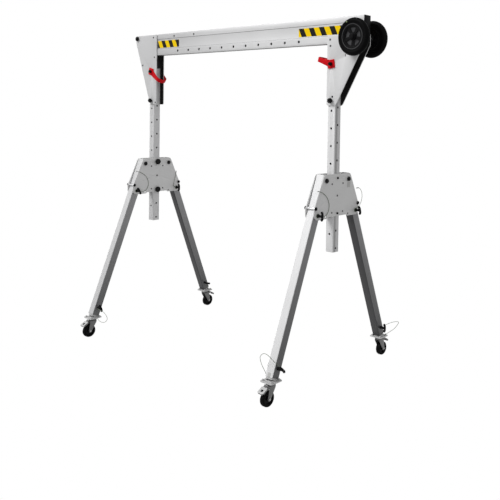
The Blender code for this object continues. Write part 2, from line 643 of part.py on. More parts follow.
def make_leg(name, holder):
    """A square tube hung from its pivot; the tube's own -Z points down to the foot."""
    top = LEG_HEAD
    length = LEG_LONG + top
    place = Matrix.Translation((0, 0, (top - LEG_LONG) / 2)) @ ALONG_Z
    section = [rounded_square(LEG, LEG_CORNER, 2),
               rounded_square(LEG - 2 * LEG_WALL, LEG_CORNER - LEG_WALL, 1)]
    cuts = [cylinder(LEG_BOLT_R + SLIP, 2 * LEG, "X"),
            cylinder(LOCK_PIN_R + SLIP, 2 * LEG, "X", (0, 0, -LOCK_REACH)),
            cylinder(LOCK_PIN_R + SLIP, 2 * LEG, "X", (0, 0, -FOOT_PIN_REACH))]
    part(name, extrusion(section, length, place), ALUMINIUM, cut=cuts, parent=holder)


def make_foot(name, x, y, sign):
    """Insert in the leg's lower end, welded to the level plate that carries the castor."""
    up, below = FOOT_INSERT_UP, FOOT_INSERT_DOWN
    tilt = Matrix.Rotation(sign * SPLAY, 4, "X")
    shift = tilt @ Vector((0, 0, (up - below) / 2 + LEG_FOOT_UP))
    insert = box((FOOT_INSERT, FOOT_INSERT, up + below), shift, tilt)
    plate = box((FOOT_PLATE, FOOT_PLATE, FOOT_PLATE_THICK), (0, 0, -FOOT_PLATE_THICK / 2))
    trim = box((FOOT_PLATE * 2, FOOT_PLATE * 2, 0.1), (0, 0, -FOOT_PLATE_THICK - 0.05))
    pin_in = FOOT_PIN_UP * math.tan(SPLAY)
    pin = cylinder(LOCK_PIN_R + SLIP, 2 * LEG, "X", (0, -sign * pin_in, FOOT_PIN_UP))
    part(name, plate, ZINC, add=[insert], cut=[trim, pin], location=(x, y, FOOT_PLATE_TOP))


BAR_TURNS = {"leg_pin_left_front": 30.0, "leg_pin_right_rear": 15.0, "foot_pin_left_front": 20.0,
             "foot_pin_right_front": 46.0, "foot_pin_left_rear": 73.0}


def t_pin(name, tail, face, place):
    """Lock pin along X with a T handle on the +X side, turned about the pin by its bar turn."""
    bar_x = face + LOCK_COLLAR + LOCK_BAR_R
    profile = [(0, -tail - 0.006), (LOCK_PIN_R - 0.002, -tail - 0.006),
               (LOCK_PIN_R, -tail - 0.003), (LOCK_PIN_R, face), (LOCK_COLLAR_R, face),
               (LOCK_COLLAR_R, bar_x), (0, bar_x)]
    bar = cylinder(LOCK_BAR_R, LOCK_BAR, "Z", (bar_x, 0, 0), COARSE_RING)
    part(name, turned(profile, "X"), BLACK_PLASTIC, add=[bar], location=place,
         rotation=(math.radians(BAR_TURNS.get(name, 0.0)), 0, 0))


ARC_ROUTE = [(0.217, 1.307), (0.205, 1.309), (0.190, 1.305), (0.165, 1.296), (0.140, 1.282),
             (0.117, 1.263), (0.101, 1.240), (0.092, 1.216), (0.091, 1.192), (0.098, 1.168),
             (0.112, 1.149), (0.130, 1.138)]
HANGING_ROUTE = [(0.203, 1.294), (0.2005, 1.278), (0.197, 1.262), (0.193, 1.246), (0.1885, 1.230),
                 (0.184, 1.214), (0.179, 1.198), (0.175, 1.182), (0.172, 1.166)]
OUTER_ROUTE = [(0.207, 1.300), (0.222, 1.303), (0.240, 1.299), (0.257, 1.288), (0.270, 1.271),
               (0.277, 1.250), (0.277, 1.228), (0.271, 1.207), (0.260, 1.189), (0.247, 1.174)]
LANYARD_ROUTES = {"left_front": ARC_ROUTE, "right_front": ARC_ROUTE,
                  "left_rear": HANGING_ROUTE, "right_rear": OUTER_ROUTE}


def make_lanyard(where, x, sign):
    """Steel cord from the hub plate's edge to a loose ring round the lock pin's collar.

    The routes are Y, out from the mast, and Z.
    """
    name = "lanyard_" + where
    route = LANYARD_ROUTES[where]
    face = HUB_OUT + CORD_R + CORD_OFF
    y, z = leg_point(LOCK_REACH)
    start = math.atan2(route[-1][1] - z, route[-1][0] - y)
    loop = [(y + CORD_RING * math.cos(start + a), z + CORD_RING * math.sin(start + a))
            for a in [math.radians(20 + 320 * i / 9) for i in range(10)]]
    lead_reach = CORD_RING + CORD_LEAD
    lead = [(y + lead_reach * math.cos(start + 0.12), z + lead_reach * math.sin(start + 0.12))]
    points = [Vector((x + face, sign * u, v)) for u, v in smooth_path(route + lead) + loop]
    curve = bpy.data.curves.new(name, "CURVE")
    curve.dimensions = "3D"
    curve.bevel_depth = CORD_R
    curve.bevel_resolution = 2
    curve.use_fill_caps = True
    spline = curve.splines.new("POLY")
    spline.points.add(len(points) - 1)
    for spot, point in zip(spline.points, points):
        spot.co = (*point, 1)
    link_part(name, from_curve(curve), CORD_GREY)


def smooth_path(points, per_span=1):
    """Catmull-Rom points through the given ones."""
    ends = [points[0]] + list(points) + [points[-1]]
    out = []
    for p0, p1, p2, p3 in zip(ends, ends[1:], ends[2:], ends[3:]):
        for k in range(per_span):
            t = k / per_span
            out.append(tuple(0.5 * (2 * b + (c - a) * t + (2 * a - 5 * b + 4 * c - d) * t * t
                                    + (3 * b - 3 * c + d - a) * t ** 3)
                             for a, b, c, d in zip(p0, p1, p2, p3)))
    out.append(points[-1])
    return out


# ---------------------------------------------------------------- castors
def fork_cheek(axle_y, axle_z, crown_z):
    """Outline of a fork's cheek in Y and Z, wide at the crown and narrow at the axle."""
    front, back = FORK_CROWN_LONG / 2 + 0.010, -FORK_CROWN_LONG / 2 + 0.002
    top = crown_z + 0.010
    return [(back, top), (back + 0.004, crown_z - FORK_CROWN), (axle_y - FORK_TIP, axle_z),
            (axle_y - 0.006, axle_z - FORK_TIP + 0.001), (axle_y + 0.006, axle_z - FORK_TIP + 0.001),
            (axle_y + FORK_TIP, axle_z), (front, crown_z - 0.004), (front - 0.006, top)]


def make_castor(where, x, y, sign):
    """Swivel fork, wheel and brake pedal; the wheel trails outwards."""
    plate_under = FOOT_PLATE_TOP - FOOT_PLATE_THICK
    axle = Vector((0, sign * CASTOR_TRAIL, CASTOR_R - plate_under))
    gap = CASTOR_WIDTH / 2 + FORK_GAP
    head = cylinder(FORK_HEAD_R, FORK_HEAD, "Z", (0, 0, -CLEAR - FORK_HEAD / 2), 16)
    crown_z = -CLEAR - FORK_HEAD - FORK_CROWN / 3
    crown = box((2 * (gap + FORK_SIDE), FORK_CROWN_LONG, FORK_CROWN),
                (0, sign * 0.004, crown_z + FORK_CROWN / 3))
    sides = []
    for s in (-1, 1):
        outline = [(sign * u, v) for u, v in fork_cheek(CASTOR_TRAIL, axle.z, crown_z)]
        place = Matrix.Translation((s * (gap + FORK_SIDE / 2), 0, 0)) @ ALONG_X
        sides.append(extrusion([outline], FORK_SIDE, place))
    pin = cylinder(CASTOR_AXLE_R, 2 * (gap + FORK_SIDE + CASTOR_AXLE_END), "X", axle)
    part("castor_fork_" + where, head, ZINC, add=[crown] + sides + [pin],
         location=(x, y, plate_under))
    make_castor_wheel(where, (x, y + axle.y, CASTOR_R))
    make_pedal(where, (x, y + sign * PEDAL_HINGE_OUT, plate_under - PEDAL_HINGE_DOWN), sign)


def make_castor_wheel(where, spot):
    tread = CASTOR_WIDTH / 2
    face = tread - 0.005
    bore = CASTOR_AXLE_R + SLIP
    profile = [(bore, -tread - CASTOR_HUB_OUT), (CASTOR_HUB_R, -tread - CASTOR_HUB_OUT),
               (CASTOR_HUB_R + 0.004, -face), (CASTOR_R - 0.015, -face),
               (CASTOR_R - 0.005, -tread), (CASTOR_R, -tread + 0.006)]
    profile += [(r, -h) for r, h in reversed(profile)] + [profile[0]]
    part("castor_wheel_" + where, turned(profile, "X", sides=18), RUBBER, location=spot)


def make_pedal(where, spot, sign):
    """Pressed pedal: a narrow neck at the hinge and a broad pad with turned-down edges."""
    tilt = Matrix.Rotation(-sign * math.radians(PEDAL_TILT), 4, "X")

    def pressed(width, long, thick, start, top):
        """Box along the pedal: its near end and its upper face measured from the hinge."""
        return box((width, long, thick), tilt @ Vector((0, sign * (start + long / 2), top - thick / 2)),
                   tilt)

    half = PEDAL_THICK / 2
    neck = pressed(PEDAL_WIDTH, PEDAL_NECK + PEDAL_THICK, PEDAL_THICK - 2 * CLEAR, 0, half - CLEAR)
    pad = pressed(PEDAL_PAD, PEDAL_PAD, PEDAL_LIP, PEDAL_NECK, half)
    under = pressed(PEDAL_PAD - 2 * PEDAL_THICK, PEDAL_PAD, PEDAL_LIP, PEDAL_NECK - PEDAL_THICK, -half)
    hinge = cylinder(PEDAL_HINGE_R, PEDAL_WIDTH, "X", sides=12)
    part("brake_pedal_" + where, neck, ZINC, add=[pad, hinge], cut=[under], location=spot)


# ---------------------------------------------------------------- the crane
make_beam()
make_axle()
for end_name in ENDS:
    make_transport_wheel(end_name)
for side_name in SIDES:
    make_mast(side_name)
    make_plate_pin(side_name)
    for end_name in ENDS:
        make_end_plate(side_name, end_name)
    make_hub_plate(side_name, -1)
    make_hub_plate(side_name, 1)
    make_guide(side_name)
    for level_name in HUB_PINS_Z:
        make_mast_pin(side_name, level_name)
    for end_name, end_sign in ENDS.items():
        where_name = side_name + "_" + end_name
        mast_x = MAST_X[side_name]
        make_leg_bolt("leg_bolt_" + where_name, mast_x, end_sign * LEG_PIVOT_Y)
        pivot = empty("leg_pivot_" + where_name, (mast_x, end_sign * LEG_PIVOT_Y, LEG_PIVOT_Z),
                      (end_sign * SPLAY, 0, 0))
        make_leg("leg_" + where_name, pivot)
        make_foot("foot_" + where_name, mast_x, end_sign * SWIVEL_Y, end_sign)
        lock_y, lock_z = leg_point(LOCK_REACH)
        t_pin("leg_pin_" + where_name, HUB_OUT, HUB_OUT + CLEAR,
              (mast_x, end_sign * lock_y, lock_z))
        foot_y, foot_z = leg_point(FOOT_PIN_REACH)
        t_pin("foot_pin_" + where_name, LEG / 2 + FOOT_PIN_TAIL, LEG / 2 + CLEAR,
              (mast_x, end_sign * foot_y, foot_z))
        make_lanyard(where_name, mast_x, end_sign)
        make_castor(where_name, mast_x, end_sign * SWIVEL_Y, end_sign)
make_lever("left", LEVER_LEFT_TURN)
make_lever("right", LEVER_RIGHT_TURN)
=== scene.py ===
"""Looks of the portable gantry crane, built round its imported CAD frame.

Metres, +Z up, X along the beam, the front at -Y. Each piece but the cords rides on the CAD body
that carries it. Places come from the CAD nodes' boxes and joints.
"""

import json
import math

import bmesh
import bpy
from mathutils import Matrix, Vector


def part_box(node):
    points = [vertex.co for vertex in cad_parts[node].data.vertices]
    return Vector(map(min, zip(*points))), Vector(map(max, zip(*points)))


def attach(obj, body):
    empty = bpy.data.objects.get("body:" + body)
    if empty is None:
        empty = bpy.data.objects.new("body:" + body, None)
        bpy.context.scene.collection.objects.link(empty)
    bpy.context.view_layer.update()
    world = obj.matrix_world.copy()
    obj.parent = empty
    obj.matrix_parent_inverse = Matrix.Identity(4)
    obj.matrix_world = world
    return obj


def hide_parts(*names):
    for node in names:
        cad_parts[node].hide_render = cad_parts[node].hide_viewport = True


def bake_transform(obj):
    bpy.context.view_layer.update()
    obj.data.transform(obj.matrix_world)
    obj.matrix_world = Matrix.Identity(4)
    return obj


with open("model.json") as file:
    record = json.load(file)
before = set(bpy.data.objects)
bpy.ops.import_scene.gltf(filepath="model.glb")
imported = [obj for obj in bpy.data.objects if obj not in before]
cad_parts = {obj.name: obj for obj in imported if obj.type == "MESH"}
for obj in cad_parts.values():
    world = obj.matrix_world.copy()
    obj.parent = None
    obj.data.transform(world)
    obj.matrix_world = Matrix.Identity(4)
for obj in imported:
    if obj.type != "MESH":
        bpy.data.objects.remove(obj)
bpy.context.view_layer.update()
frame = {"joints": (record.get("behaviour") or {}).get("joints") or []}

# ---- places read from the frame
SIDES = {"left": -1, "right": 1}
ENDS = {"front": -1, "rear": 1}
JOINTS = {joint["name"]: joint for joint in frame["joints"]}


def middle(node):
    low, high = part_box(node)
    return (low + high) / 2


def pivot(joint):
    return Vector(JOINTS[joint]["pos_m"])


MAST_X = {side: middle("mast_" + side).x for side in SIDES}
MIDDLE = (MAST_X["left"] + MAST_X["right"]) / 2


def linked(name, data):
    """A new object for the data, in the scene."""
    obj = bpy.data.objects.new(name, data)
    bpy.context.scene.collection.objects.link(obj)
    return obj


# ---- camera
camera_data = bpy.data.cameras.new("camera")
camera_data.sensor_width = 36.0
camera_data.lens = 49.08
camera_data.shift_x = -0.1703
camera_data.shift_y = -0.2305
camera = linked("camera", camera_data)
CAMERA_PLACE = Matrix.Translation((MIDDLE + 3.9161, -3.6209, 1.8173))
CAMERA_TURN = (Matrix.Rotation(0.6767, 4, "Z") @ Matrix.Rotation(math.pi / 2 - 0.0301, 4, "X")
               @ Matrix.Rotation(0.0171, 4, "Z"))
camera.matrix_world = CAMERA_PLACE @ CAMERA_TURN
bpy.context.scene.camera = camera


# ---- materials
GRAIN_LOW, GRAIN_HIGH = 0.3, 0.7       # where the noise's darkest and lightest tones sit
GLOSS_SPREAD = 0.08                    # how far the roughness strays from its middle


def add_node(nodes, kind, operation=None, **values):
    """A new shader node, its inputs set by their names with _ for each space."""
    made = nodes.new("ShaderNode" + kind)
    if operation:
        made.operation = operation
    for key, value in values.items():
        made.inputs[key.replace("_", " ")].default_value = value
    return made


def surface(name, colour, roughness, metallic=0.0, grain=60, shade=0.05, relief=0.1, clouds=3.0,
            specular=0.5, fade=None, fade_axis="Z", band=None):
    """A finish with fine grain, broad uneven patches, and a little relief.

    grain is one scale, or one for each axis.
    fade is (low, high, share): painted shade, the colour falling to that share of itself at the low end
    of an axis.
    band is (low, high, shares): a painted sheen, the colour's shares at even steps between two local
    Y values.
    """
    mat = bpy.data.materials.new(name)
    mat.use_nodes = True
    nodes, join = mat.node_tree.nodes, mat.node_tree.links.new
    shader = nodes["Principled BSDF"]
    shader.inputs["Metallic"].default_value = metallic
    shader.inputs["Specular IOR Level"].default_value = specular
    where = nodes.new("ShaderNodeTexCoord").outputs["Object"]
    stretch = add_node(nodes, "Mapping", Scale=grain if isinstance(grain, tuple) else (grain,) * 3)
    join(where, stretch.inputs["Vector"])
    fine = add_node(nodes, "TexNoise", Scale=1.0, Detail=5.0)
    join(stretch.outputs["Vector"], fine.inputs["Vector"])
    broad = add_node(nodes, "TexNoise", Scale=clouds, Detail=3.0)
    join(where, broad.inputs["Vector"])
    total = add_node(nodes, "Math", "ADD")
    join(fine.outputs["Fac"], total.inputs[0])
    join(broad.outputs["Fac"], total.inputs[1])
    half = add_node(nodes, "Math", "MULTIPLY")
    half.inputs[1].default_value = 0.5
    join(total.outputs["Value"], half.inputs[0])
    ramp = nodes.new("ShaderNodeValToRGB")
    dark, light = ramp.color_ramp.elements
    dark.position, light.position = GRAIN_LOW, GRAIN_HIGH
    dark.color = (*[c * (1 - shade) for c in colour], 1)
    light.color = (*[min(1, c * (1 + shade)) for c in colour], 1)
    join(half.outputs["Value"], ramp.inputs["Fac"])
    tint = ramp.outputs["Color"]
    if fade or band:
        low, high, share = fade or (*band[:2], 0.0)
        apart = nodes.new("ShaderNodeSeparateXYZ")
        join(where, apart.inputs["Vector"])
        level = add_node(nodes, "MapRange", From_Min=low, From_Max=high, To_Min=share)
        join(apart.outputs[fade_axis if fade else "Y"], level.inputs["Value"])
        if band:
            steps = nodes.new("ShaderNodeValToRGB")
            last = len(band[2]) - 1
            for i in range(1, last):
                steps.color_ramp.elements.new(i / last)
            for element, value in zip(steps.color_ramp.elements, band[2]):
                element.color = (value, value, value, 1)
            join(level.outputs["Result"], steps.inputs["Fac"])
            level = steps
        scaled = add_node(nodes, "VectorMath", "SCALE")
        join(tint, scaled.inputs[0])
        join(level.outputs[0], scaled.inputs["Scale"])
        tint = scaled.outputs["Vector"]
    join(tint, shader.inputs["Base Color"])
    gloss = add_node(nodes, "MapRange", From_Min=GRAIN_LOW, From_Max=GRAIN_HIGH,
                     To_Min=max(0.05, roughness - GLOSS_SPREAD), To_Max=min(1.0, roughness + GLOSS_SPREAD))
    join(half.outputs["Value"], gloss.inputs["Value"])
    join(gloss.outputs["Result"], shader.inputs["Roughness"])
    bump = add_node(nodes, "Bump", Strength=relief, Distance=0.0005)
    join(fine.outputs["Fac"], bump.inputs["Height"])
    join(bump.outputs["Normal"], shader.inputs["Normal"])
    return mat


def grey(value, blue=0.005):
    return value, value, value + blue


def pair(name, tones, *rest, blue=0.005, **more):
    """One finish in its own tone on each side, as the photo's light falls unevenly on them."""
    return {side: surface(f"{side}_{name}", grey(tone, blue), *rest, **more)
            for side, tone in zip(SIDES, tones)}


ACROSS_X, ACROSS_Z = (6, 420, 420), (420, 420, 6)    # brushed along X or Z
# Painted shade: the beam grows darker towards its left end.
BRUSHED_X = surface("aluminium_brushed_x", grey(0.68), 0.46, 0.2, ACROSS_X, fade=(-1.0, 0.1, 0.74),
                    fade_axis="X")
# Painted shade on the slanting step faces of the beam's recess.
STEP_SHADE = surface("beam_step_painted_shade", grey(0.2), 0.5, 0.2, ACROSS_X, specular=0.3)
# Painted light on the legs: outer faces lighter, the flanks darker, the inner faces near black as painted
# shade.
LEG_FRONTS = pair("leg_outer", (0.54, 0.69), 0.6, 0.1, ACROSS_Z, 0.06, specular=0.3)
# Painted shade: the flanks grow darker towards the foot.
LEG_SIDES = pair("leg_side", (0.31, 0.24), 0.45, 0.3, ACROSS_Z, 0.1, specular=0.3,
                 fade=(-1.15, -0.1, 0.42))
LEG_INNER_SHADE = surface("leg_inner_painted_shade", grey(0.052, 0.002), 0.5, 0.3, ACROSS_Z, 0.12, specular=0.3)
# Painted light: each mast in its own tone, the right one lighter in front and its +X faces darker.
MAST_FRONTS = {"left": surface("left_mast", grey(0.57), 0.5, 0.2, ACROSS_Z),
               "right": surface("right_mast", grey(0.72), 0.46, 0.2, ACROSS_Z)}
# A painted sheen: a darker streak near the front edge of the right mast's +X face.
MAST_PAINTED_SHEEN = (-0.032, 0.032, [0.85, 0.8, 0.45, 0.55, 0.85, 0.9, 0.9, 0.85, 0.8])
MAST_SIDES = {side: surface(side + "_mast_side", grey(0.58), 0.5, 0.2, ACROSS_Z,
                            band=MAST_PAINTED_SHEEN if side == "right" else None) for side in SIDES}
PLATE_FACES = pair("end_plate", (0.6, 0.7), 0.6, 0.1, 260, 0.03, specular=0.3)
HUB_FACES = pair("hub_satin", (0.64, 0.58), 0.6, 0.15, 320, 0.06, 0.16, blue=0.0)
SILVER = surface("turned_steel", grey(0.66, 0.01), 0.25, 0.85, 300)
ZINC = surface("zinc_plate", grey(0.46, 0), 0.5, 0.2, 90, 0.1, 0.15, 14.0)
ZINC_DARK = surface("zinc_shaded", grey(0.13, 0), 0.4, 0.5, 90, 0.15, 0.15, 14.0)
BLACK = surface("black_plastic", grey(0.0035, 0.0005), 0.45, 0.0, 900, 0.2, 0.25, specular=0.07)
# Near black for the end plates' inner faces and for the guide blocks.
INNER_BLACK = surface("inner_near_black", grey(0.012, 0), 0.6, 0.0, 500, 0.3, 0.2, specular=0.12)
BORE = surface("shaded_bore", grey(0.012, 0.001), 0.6, 0.0, 300, 0.2, 0.1, specular=0.1)
RIM_GREY = surface("rim_grey", grey(0.045, 0.003), 0.5, 0.0, 500, 0.15, 0.2, specular=0.2)
SCREW = surface("dark_screw", grey(0.02, 0.001), 0.4, 0.3, 500, 0.15, 0.2, specular=0.3)
# Painted highlight: a lighter ring on the front tyre's sidewall.
RING_HIGHLIGHT = surface("tyre_ring", grey(0.03, 0.002), 0.42, 0.0, 500, 0.15, 0.2, specular=0.3)
TYRE = surface("tyre_rubber", grey(0.0025, 0.0002), 0.5, 0.0, 260, 0.25, 0.35, specular=0.03)
RED = surface("red_enamel", (0.6, 0.004, 0.01), 0.4, 0.0, 300, 0.06, 0.05, 8.0, specular=0.08)
YELLOW = surface("tape_yellow", (0.95, 0.64, 0.0), 0.5, 0.0, 200, 0.03, 0.05, specular=0.1)
TAPE_BLACK = surface("tape_black", (0.008, 0.007, 0.007), 0.5, 0.0, 200, 0.15, 0.05, specular=0.1)
CORD = surface("cord_sheath", (0.09, 0.12, 0.07), 0.4, 0.3, 900, 0.12, 0.3)
CRIMP = surface("crimp_steel", grey(0.22, 0), 0.4, 0.6, 300, 0.1)
KNOB = surface("knob_plastic", grey(0.004, 0.0005), 0.28, 0.0, 500, 0.2, 0.1, specular=0.1)
# Painted highlight: a small greenish glint disc on each tyre.
TYRE_GLINT = surface("tyre_glint", (0.35, 0.45, 0.2), 0.5, 0.0, 300, 0.02, 0.05)
LABEL = surface("blank_label", grey(0.42, -0.01), 0.45, 0.0, 200, 0.02, 0.05)

# ---- shape helpers
GAP = 0.0003       # clearance between two pieces that touch
WALL = 0.004       # of the beam, the masts and the legs
HOLE_SIDES = 24    # facets of a drilled hole
ALONG_X = Matrix(((0, 0, 1, 0), (1, 0, 0, 0), (0, 1, 0, 0), (0, 0, 0, 1)))    # u=Y v=Z
ALONG_Y = Matrix(((1, 0, 0, 0), (0, 0, -1, 0), (0, 1, 0, 0), (0, 0, 0, 1)))   # u=X v=Z
ALONG_Z = Matrix.Identity(4)                                                  # u=X v=Y
AXES = {"X": Matrix.Rotation(math.pi / 2, 4, "Y"), "Y": Matrix.Rotation(-math.pi / 2, 4, "X"),
        "Z": Matrix.Identity(4)}


def mesh_of(bm, name):
    bmesh.ops.recalc_face_normals(bm, faces=bm.faces)
    mesh = bpy.data.meshes.new(name)
    bm.to_mesh(mesh)
    bm.free()
    return mesh


def arc(centre, radius, start, end, steps):
    """Points of an arc, angles in degrees."""
    angles = [math.radians(start + (end - start) * i / steps) for i in range(steps + 1)]
    return [(centre[0] + radius * math.cos(a), centre[1] + radius * math.sin(a)) for a in angles]


def circle(centre, radius, steps=24):
    return arc(centre, radius, 0, 360, steps)[:-1]


def rounded(points, radius, steps=4, closed=True):
    """The same outline with its corners rounded, as far as each side's length lets them be."""
    out = []
    count = len(points)
    for i, point in enumerate(points):
        here = Vector(point)
        if not closed and i in (0, count - 1):
            out.append(point)
            continue
        back = Vector(points[i - 1]) - here
        ahead = Vector(points[(i + 1) % count]) - here
        half = back.angle(ahead) / 2
        if half > math.radians(88):
            out.append(point)
            continue
        reach = min(radius / math.tan(half), 0.48 * back.length, 0.48 * ahead.length)
        back.normalize()
        ahead.normalize()
        hub = here + (back + ahead).normalized() * reach / math.cos(half)
        first = here + back * reach - hub
        last = here + ahead * reach - hub
        turn = first.angle_signed(last)
        for k in range(steps + 1):
            spoke = first.copy()
            spoke.rotate(Matrix.Rotation(-turn * k / steps, 2))
            out.append(tuple(hub + spoke))
    return out


def square(width, depth=None):
    u, v = width / 2, (depth or width) / 2
    return [(u, v), (-u, v), (-u, -v), (u, -v)]


def sheet_solid(outlines, thickness, place=ALONG_Z, edge=0.0005):
    """A flat solid with softened edges; outlines after the first are its openings."""
    curve = bpy.data.curves.new("outline", "CURVE")
    curve.dimensions = "2D"
    curve.fill_mode = "BOTH"
    curve.extrude = thickness / 2 - edge
    curve.bevel_depth = edge
    curve.bevel_resolution = 1
    curve.offset = -edge
    for outline in outlines:
        add_spline(curve, [(u, v, 0) for u, v in outline]).use_cyclic_u = True
    return from_curve(curve, place)


def add_spline(curve, points):
    spline = curve.splines.new("POLY")
    spline.points.add(len(points) - 1)
    for spot, point in zip(spline.points, points):
        spot.co = (*point, 1)
    return spline


def from_curve(curve, place=ALONG_Z):
    holder = linked("outline", curve)
    graph = bpy.context.evaluated_depsgraph_get()
    mesh = bpy.data.meshes.new_from_object(holder.evaluated_get(graph))
    bpy.data.objects.remove(holder, do_unlink=True)
    bpy.data.curves.remove(curve)
    bm = bmesh.new()
    bm.from_mesh(mesh)
    bmesh.ops.remove_doubles(bm, verts=bm.verts, dist=1e-5)
    bmesh.ops.transform(bm, matrix=place, verts=bm.verts)
    return mesh_of(bm, "curve")


def lathe(profile, axis="Z", sides=32, soften=0.0, centre=(0, 0, 0)):
    """A turned solid: profile is (radius, height), its corners rounded by soften."""
    if soften:
        profile = rounded(profile, soften, 3, closed=False)
    bm = bmesh.new()
    verts = [bm.verts.new((r, 0, h)) for r, h in profile]
    edges = [bm.edges.new(pair) for pair in zip(verts, verts[1:])]
    bmesh.ops.spin(bm, geom=verts + edges, cent=(0, 0, 0), axis=(0, 0, 1),
                   angle=2 * math.pi, steps=sides, use_merge=True)
    bmesh.ops.remove_doubles(bm, verts=bm.verts, dist=1e-6)
    bmesh.ops.transform(bm, matrix=Matrix.Translation(centre) @ AXES[axis], verts=bm.verts)
    return mesh_of(bm, "turned")


def rod(radius, low, high, axis="Z", sides=24, soften=0.0006, centre=(0, 0, 0)):
    """A round bar from low to high along an axis, with softened ends."""
    return lathe([(0, low), (radius, low), (radius, high), (0, high)], axis, sides, soften, centre)


def moved(mesh, matrix):
    mesh.transform(matrix)
    return mesh


def at(*place):
    return Matrix.Translation(place)


def flipped(sign, axis="X"):
    """Half a turn about an axis for the negative side."""
    return Matrix.Rotation(0 if sign > 0 else math.pi, 4, axis)


def both_ends(half):
    """A turned bar's profile from one half: its axis and two ends alike."""
    return [(r, -h) for r, h in half] + half[::-1]


def ring_of(side):
    """A closed ring's profile from the points of one side and the same mirrored."""
    return side + [(r, -h) for r, h in reversed(side)] + side[:1]


def drill(radius, reach, axis, x, y, z):
    """A cutter for a round hole, reaching to both sides of its place."""
    return rod(radius, -reach, reach, axis, HOLE_SIDES, 0, (x, y, z))


def joined(meshes):
    bm = bmesh.new()
    for mesh in meshes:
        bm.from_mesh(mesh)
    return mesh_of(bm, "group")


def carved(mesh, cutters):
    """The mesh with closed cutter shapes taken out of it."""
    body, tool = linked("body", mesh), linked("tool", joined(cutters))
    step = body.modifiers.new("cut", "BOOLEAN")
    step.solver = "EXACT"
    step.object = tool
    graph = bpy.context.evaluated_depsgraph_get()
    result = bpy.data.meshes.new_from_object(body.evaluated_get(graph))
    for obj in (body, tool):
        bpy.data.objects.remove(obj, do_unlink=True)
    return result


def curve_points(route, per_span=5):
    """Catmull-Rom points through the route."""
    route = [Vector(point) for point in route]
    ends = [route[0]] + route + [route[-1]]
    out = []
    for a, b, c, d in zip(ends, ends[1:], ends[2:], ends[3:]):
        for k in range(per_span):
            t = k / per_span
            out.append(0.5 * (2 * b + (c - a) * t + (2 * a - 5 * b + 4 * c - d) * t * t
                              + (3 * b - 3 * c + d - a) * t ** 3))
    out.append(route[-1])
    return out


def wire_curve(name, points, radius, resolution=3):
    curve = bpy.data.curves.new(name, "CURVE")
    curve.dimensions = "3D"
    curve.bevel_depth = radius
    curve.bevel_resolution = resolution
    curve.use_fill_caps = True
    add_spline(curve, points)
    return curve


def bent_bar(route, radius):
    """A closed round bar through the route, as a mesh."""
    return from_curve(wire_curve("bar", curve_points(route), radius))


def piece(name, mesh, look, body, replaces=(), place=None, bevel=0.0):
    """One visible piece on its CAD body."""
    obj = linked(name, mesh)
    for mat in look if isinstance(look, list) else [look]:
        mesh.materials.append(mat)
    mesh.shade_smooth()
    mesh.set_sharp_from_angle(angle=math.radians(32))
    if place is not None:
        obj.matrix_world = place
    if bevel:
        step = obj.modifiers.new("edges", "BEVEL")
        step.width = bevel
        step.segments = 2
        step.limit_method = "ANGLE"
        step.angle_limit = math.radians(40)
        step.use_clamp_overlap = True
    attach(obj, body)
    if replaces:
        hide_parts(*replaces)
    return obj


def button_screw(radius, height, axis="Z"):
    """A domed screw head with a socket, its seat at the origin, standing along the axis."""
    socket = radius * 0.45
    profile = [(0, height * 0.45), (socket, height * 0.45), (socket, height), (radius * 0.7, height * 0.92),
               (radius, height * 0.4), (radius, 0), (0, 0)]
    return lathe(profile, axis, 20)


def group_of(shape, places):
    """Copies of one shape at several places, in one mesh."""
    return joined([moved(shape.copy(), matrix) for matrix in places])


# ---- beam
BEAM_LOW, BEAM_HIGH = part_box("beam")
BEAM_HALF = (BEAM_HIGH.y - BEAM_LOW.y) / 2
BEAM_DEPTH = BEAM_HIGH.z - BEAM_LOW.z
TOP_BAND = 0.041
LOW_BAND = 0.052
RECESS = 0.0025
TRACK_SLOT = 0.026
AXLE_HOLE = 0.0105
HOLES, FIRST_HOLE, HOLE_PITCH = 11, 0.6517, 0.1343    # lower row; the first is left of the middle
HOLE_UP, HOLE_DOWN = 0.0276, 0.0245                   # rows from the lower and upper edge
UPPER_HOLES = (0.7014, 0.4494)                        # left of the middle
BEAM_START = BEAM_LOW.x + 0.022    # kept behind the slanting edge of the left end plates


def beam_section():
    waist = BEAM_HALF - RECESS
    low, high = LOW_BAND, BEAM_DEPTH - TOP_BAND
    slot = TRACK_SLOT / 2
    right = [(slot, 0), (BEAM_HALF, 0), (BEAM_HALF, low), (waist, low + RECESS),
             (waist, high - RECESS), (BEAM_HALF, high), (BEAM_HALF, BEAM_DEPTH)]
    left = [(-u, v) for u, v in reversed(right)]
    inner = BEAM_HALF - WALL
    track = [(-slot, WALL), (-inner, WALL), (-inner, low - WALL), (inner, low - WALL),
             (inner, WALL), (slot, WALL)]
    return rounded(right + left + track, 0.0008, 2)


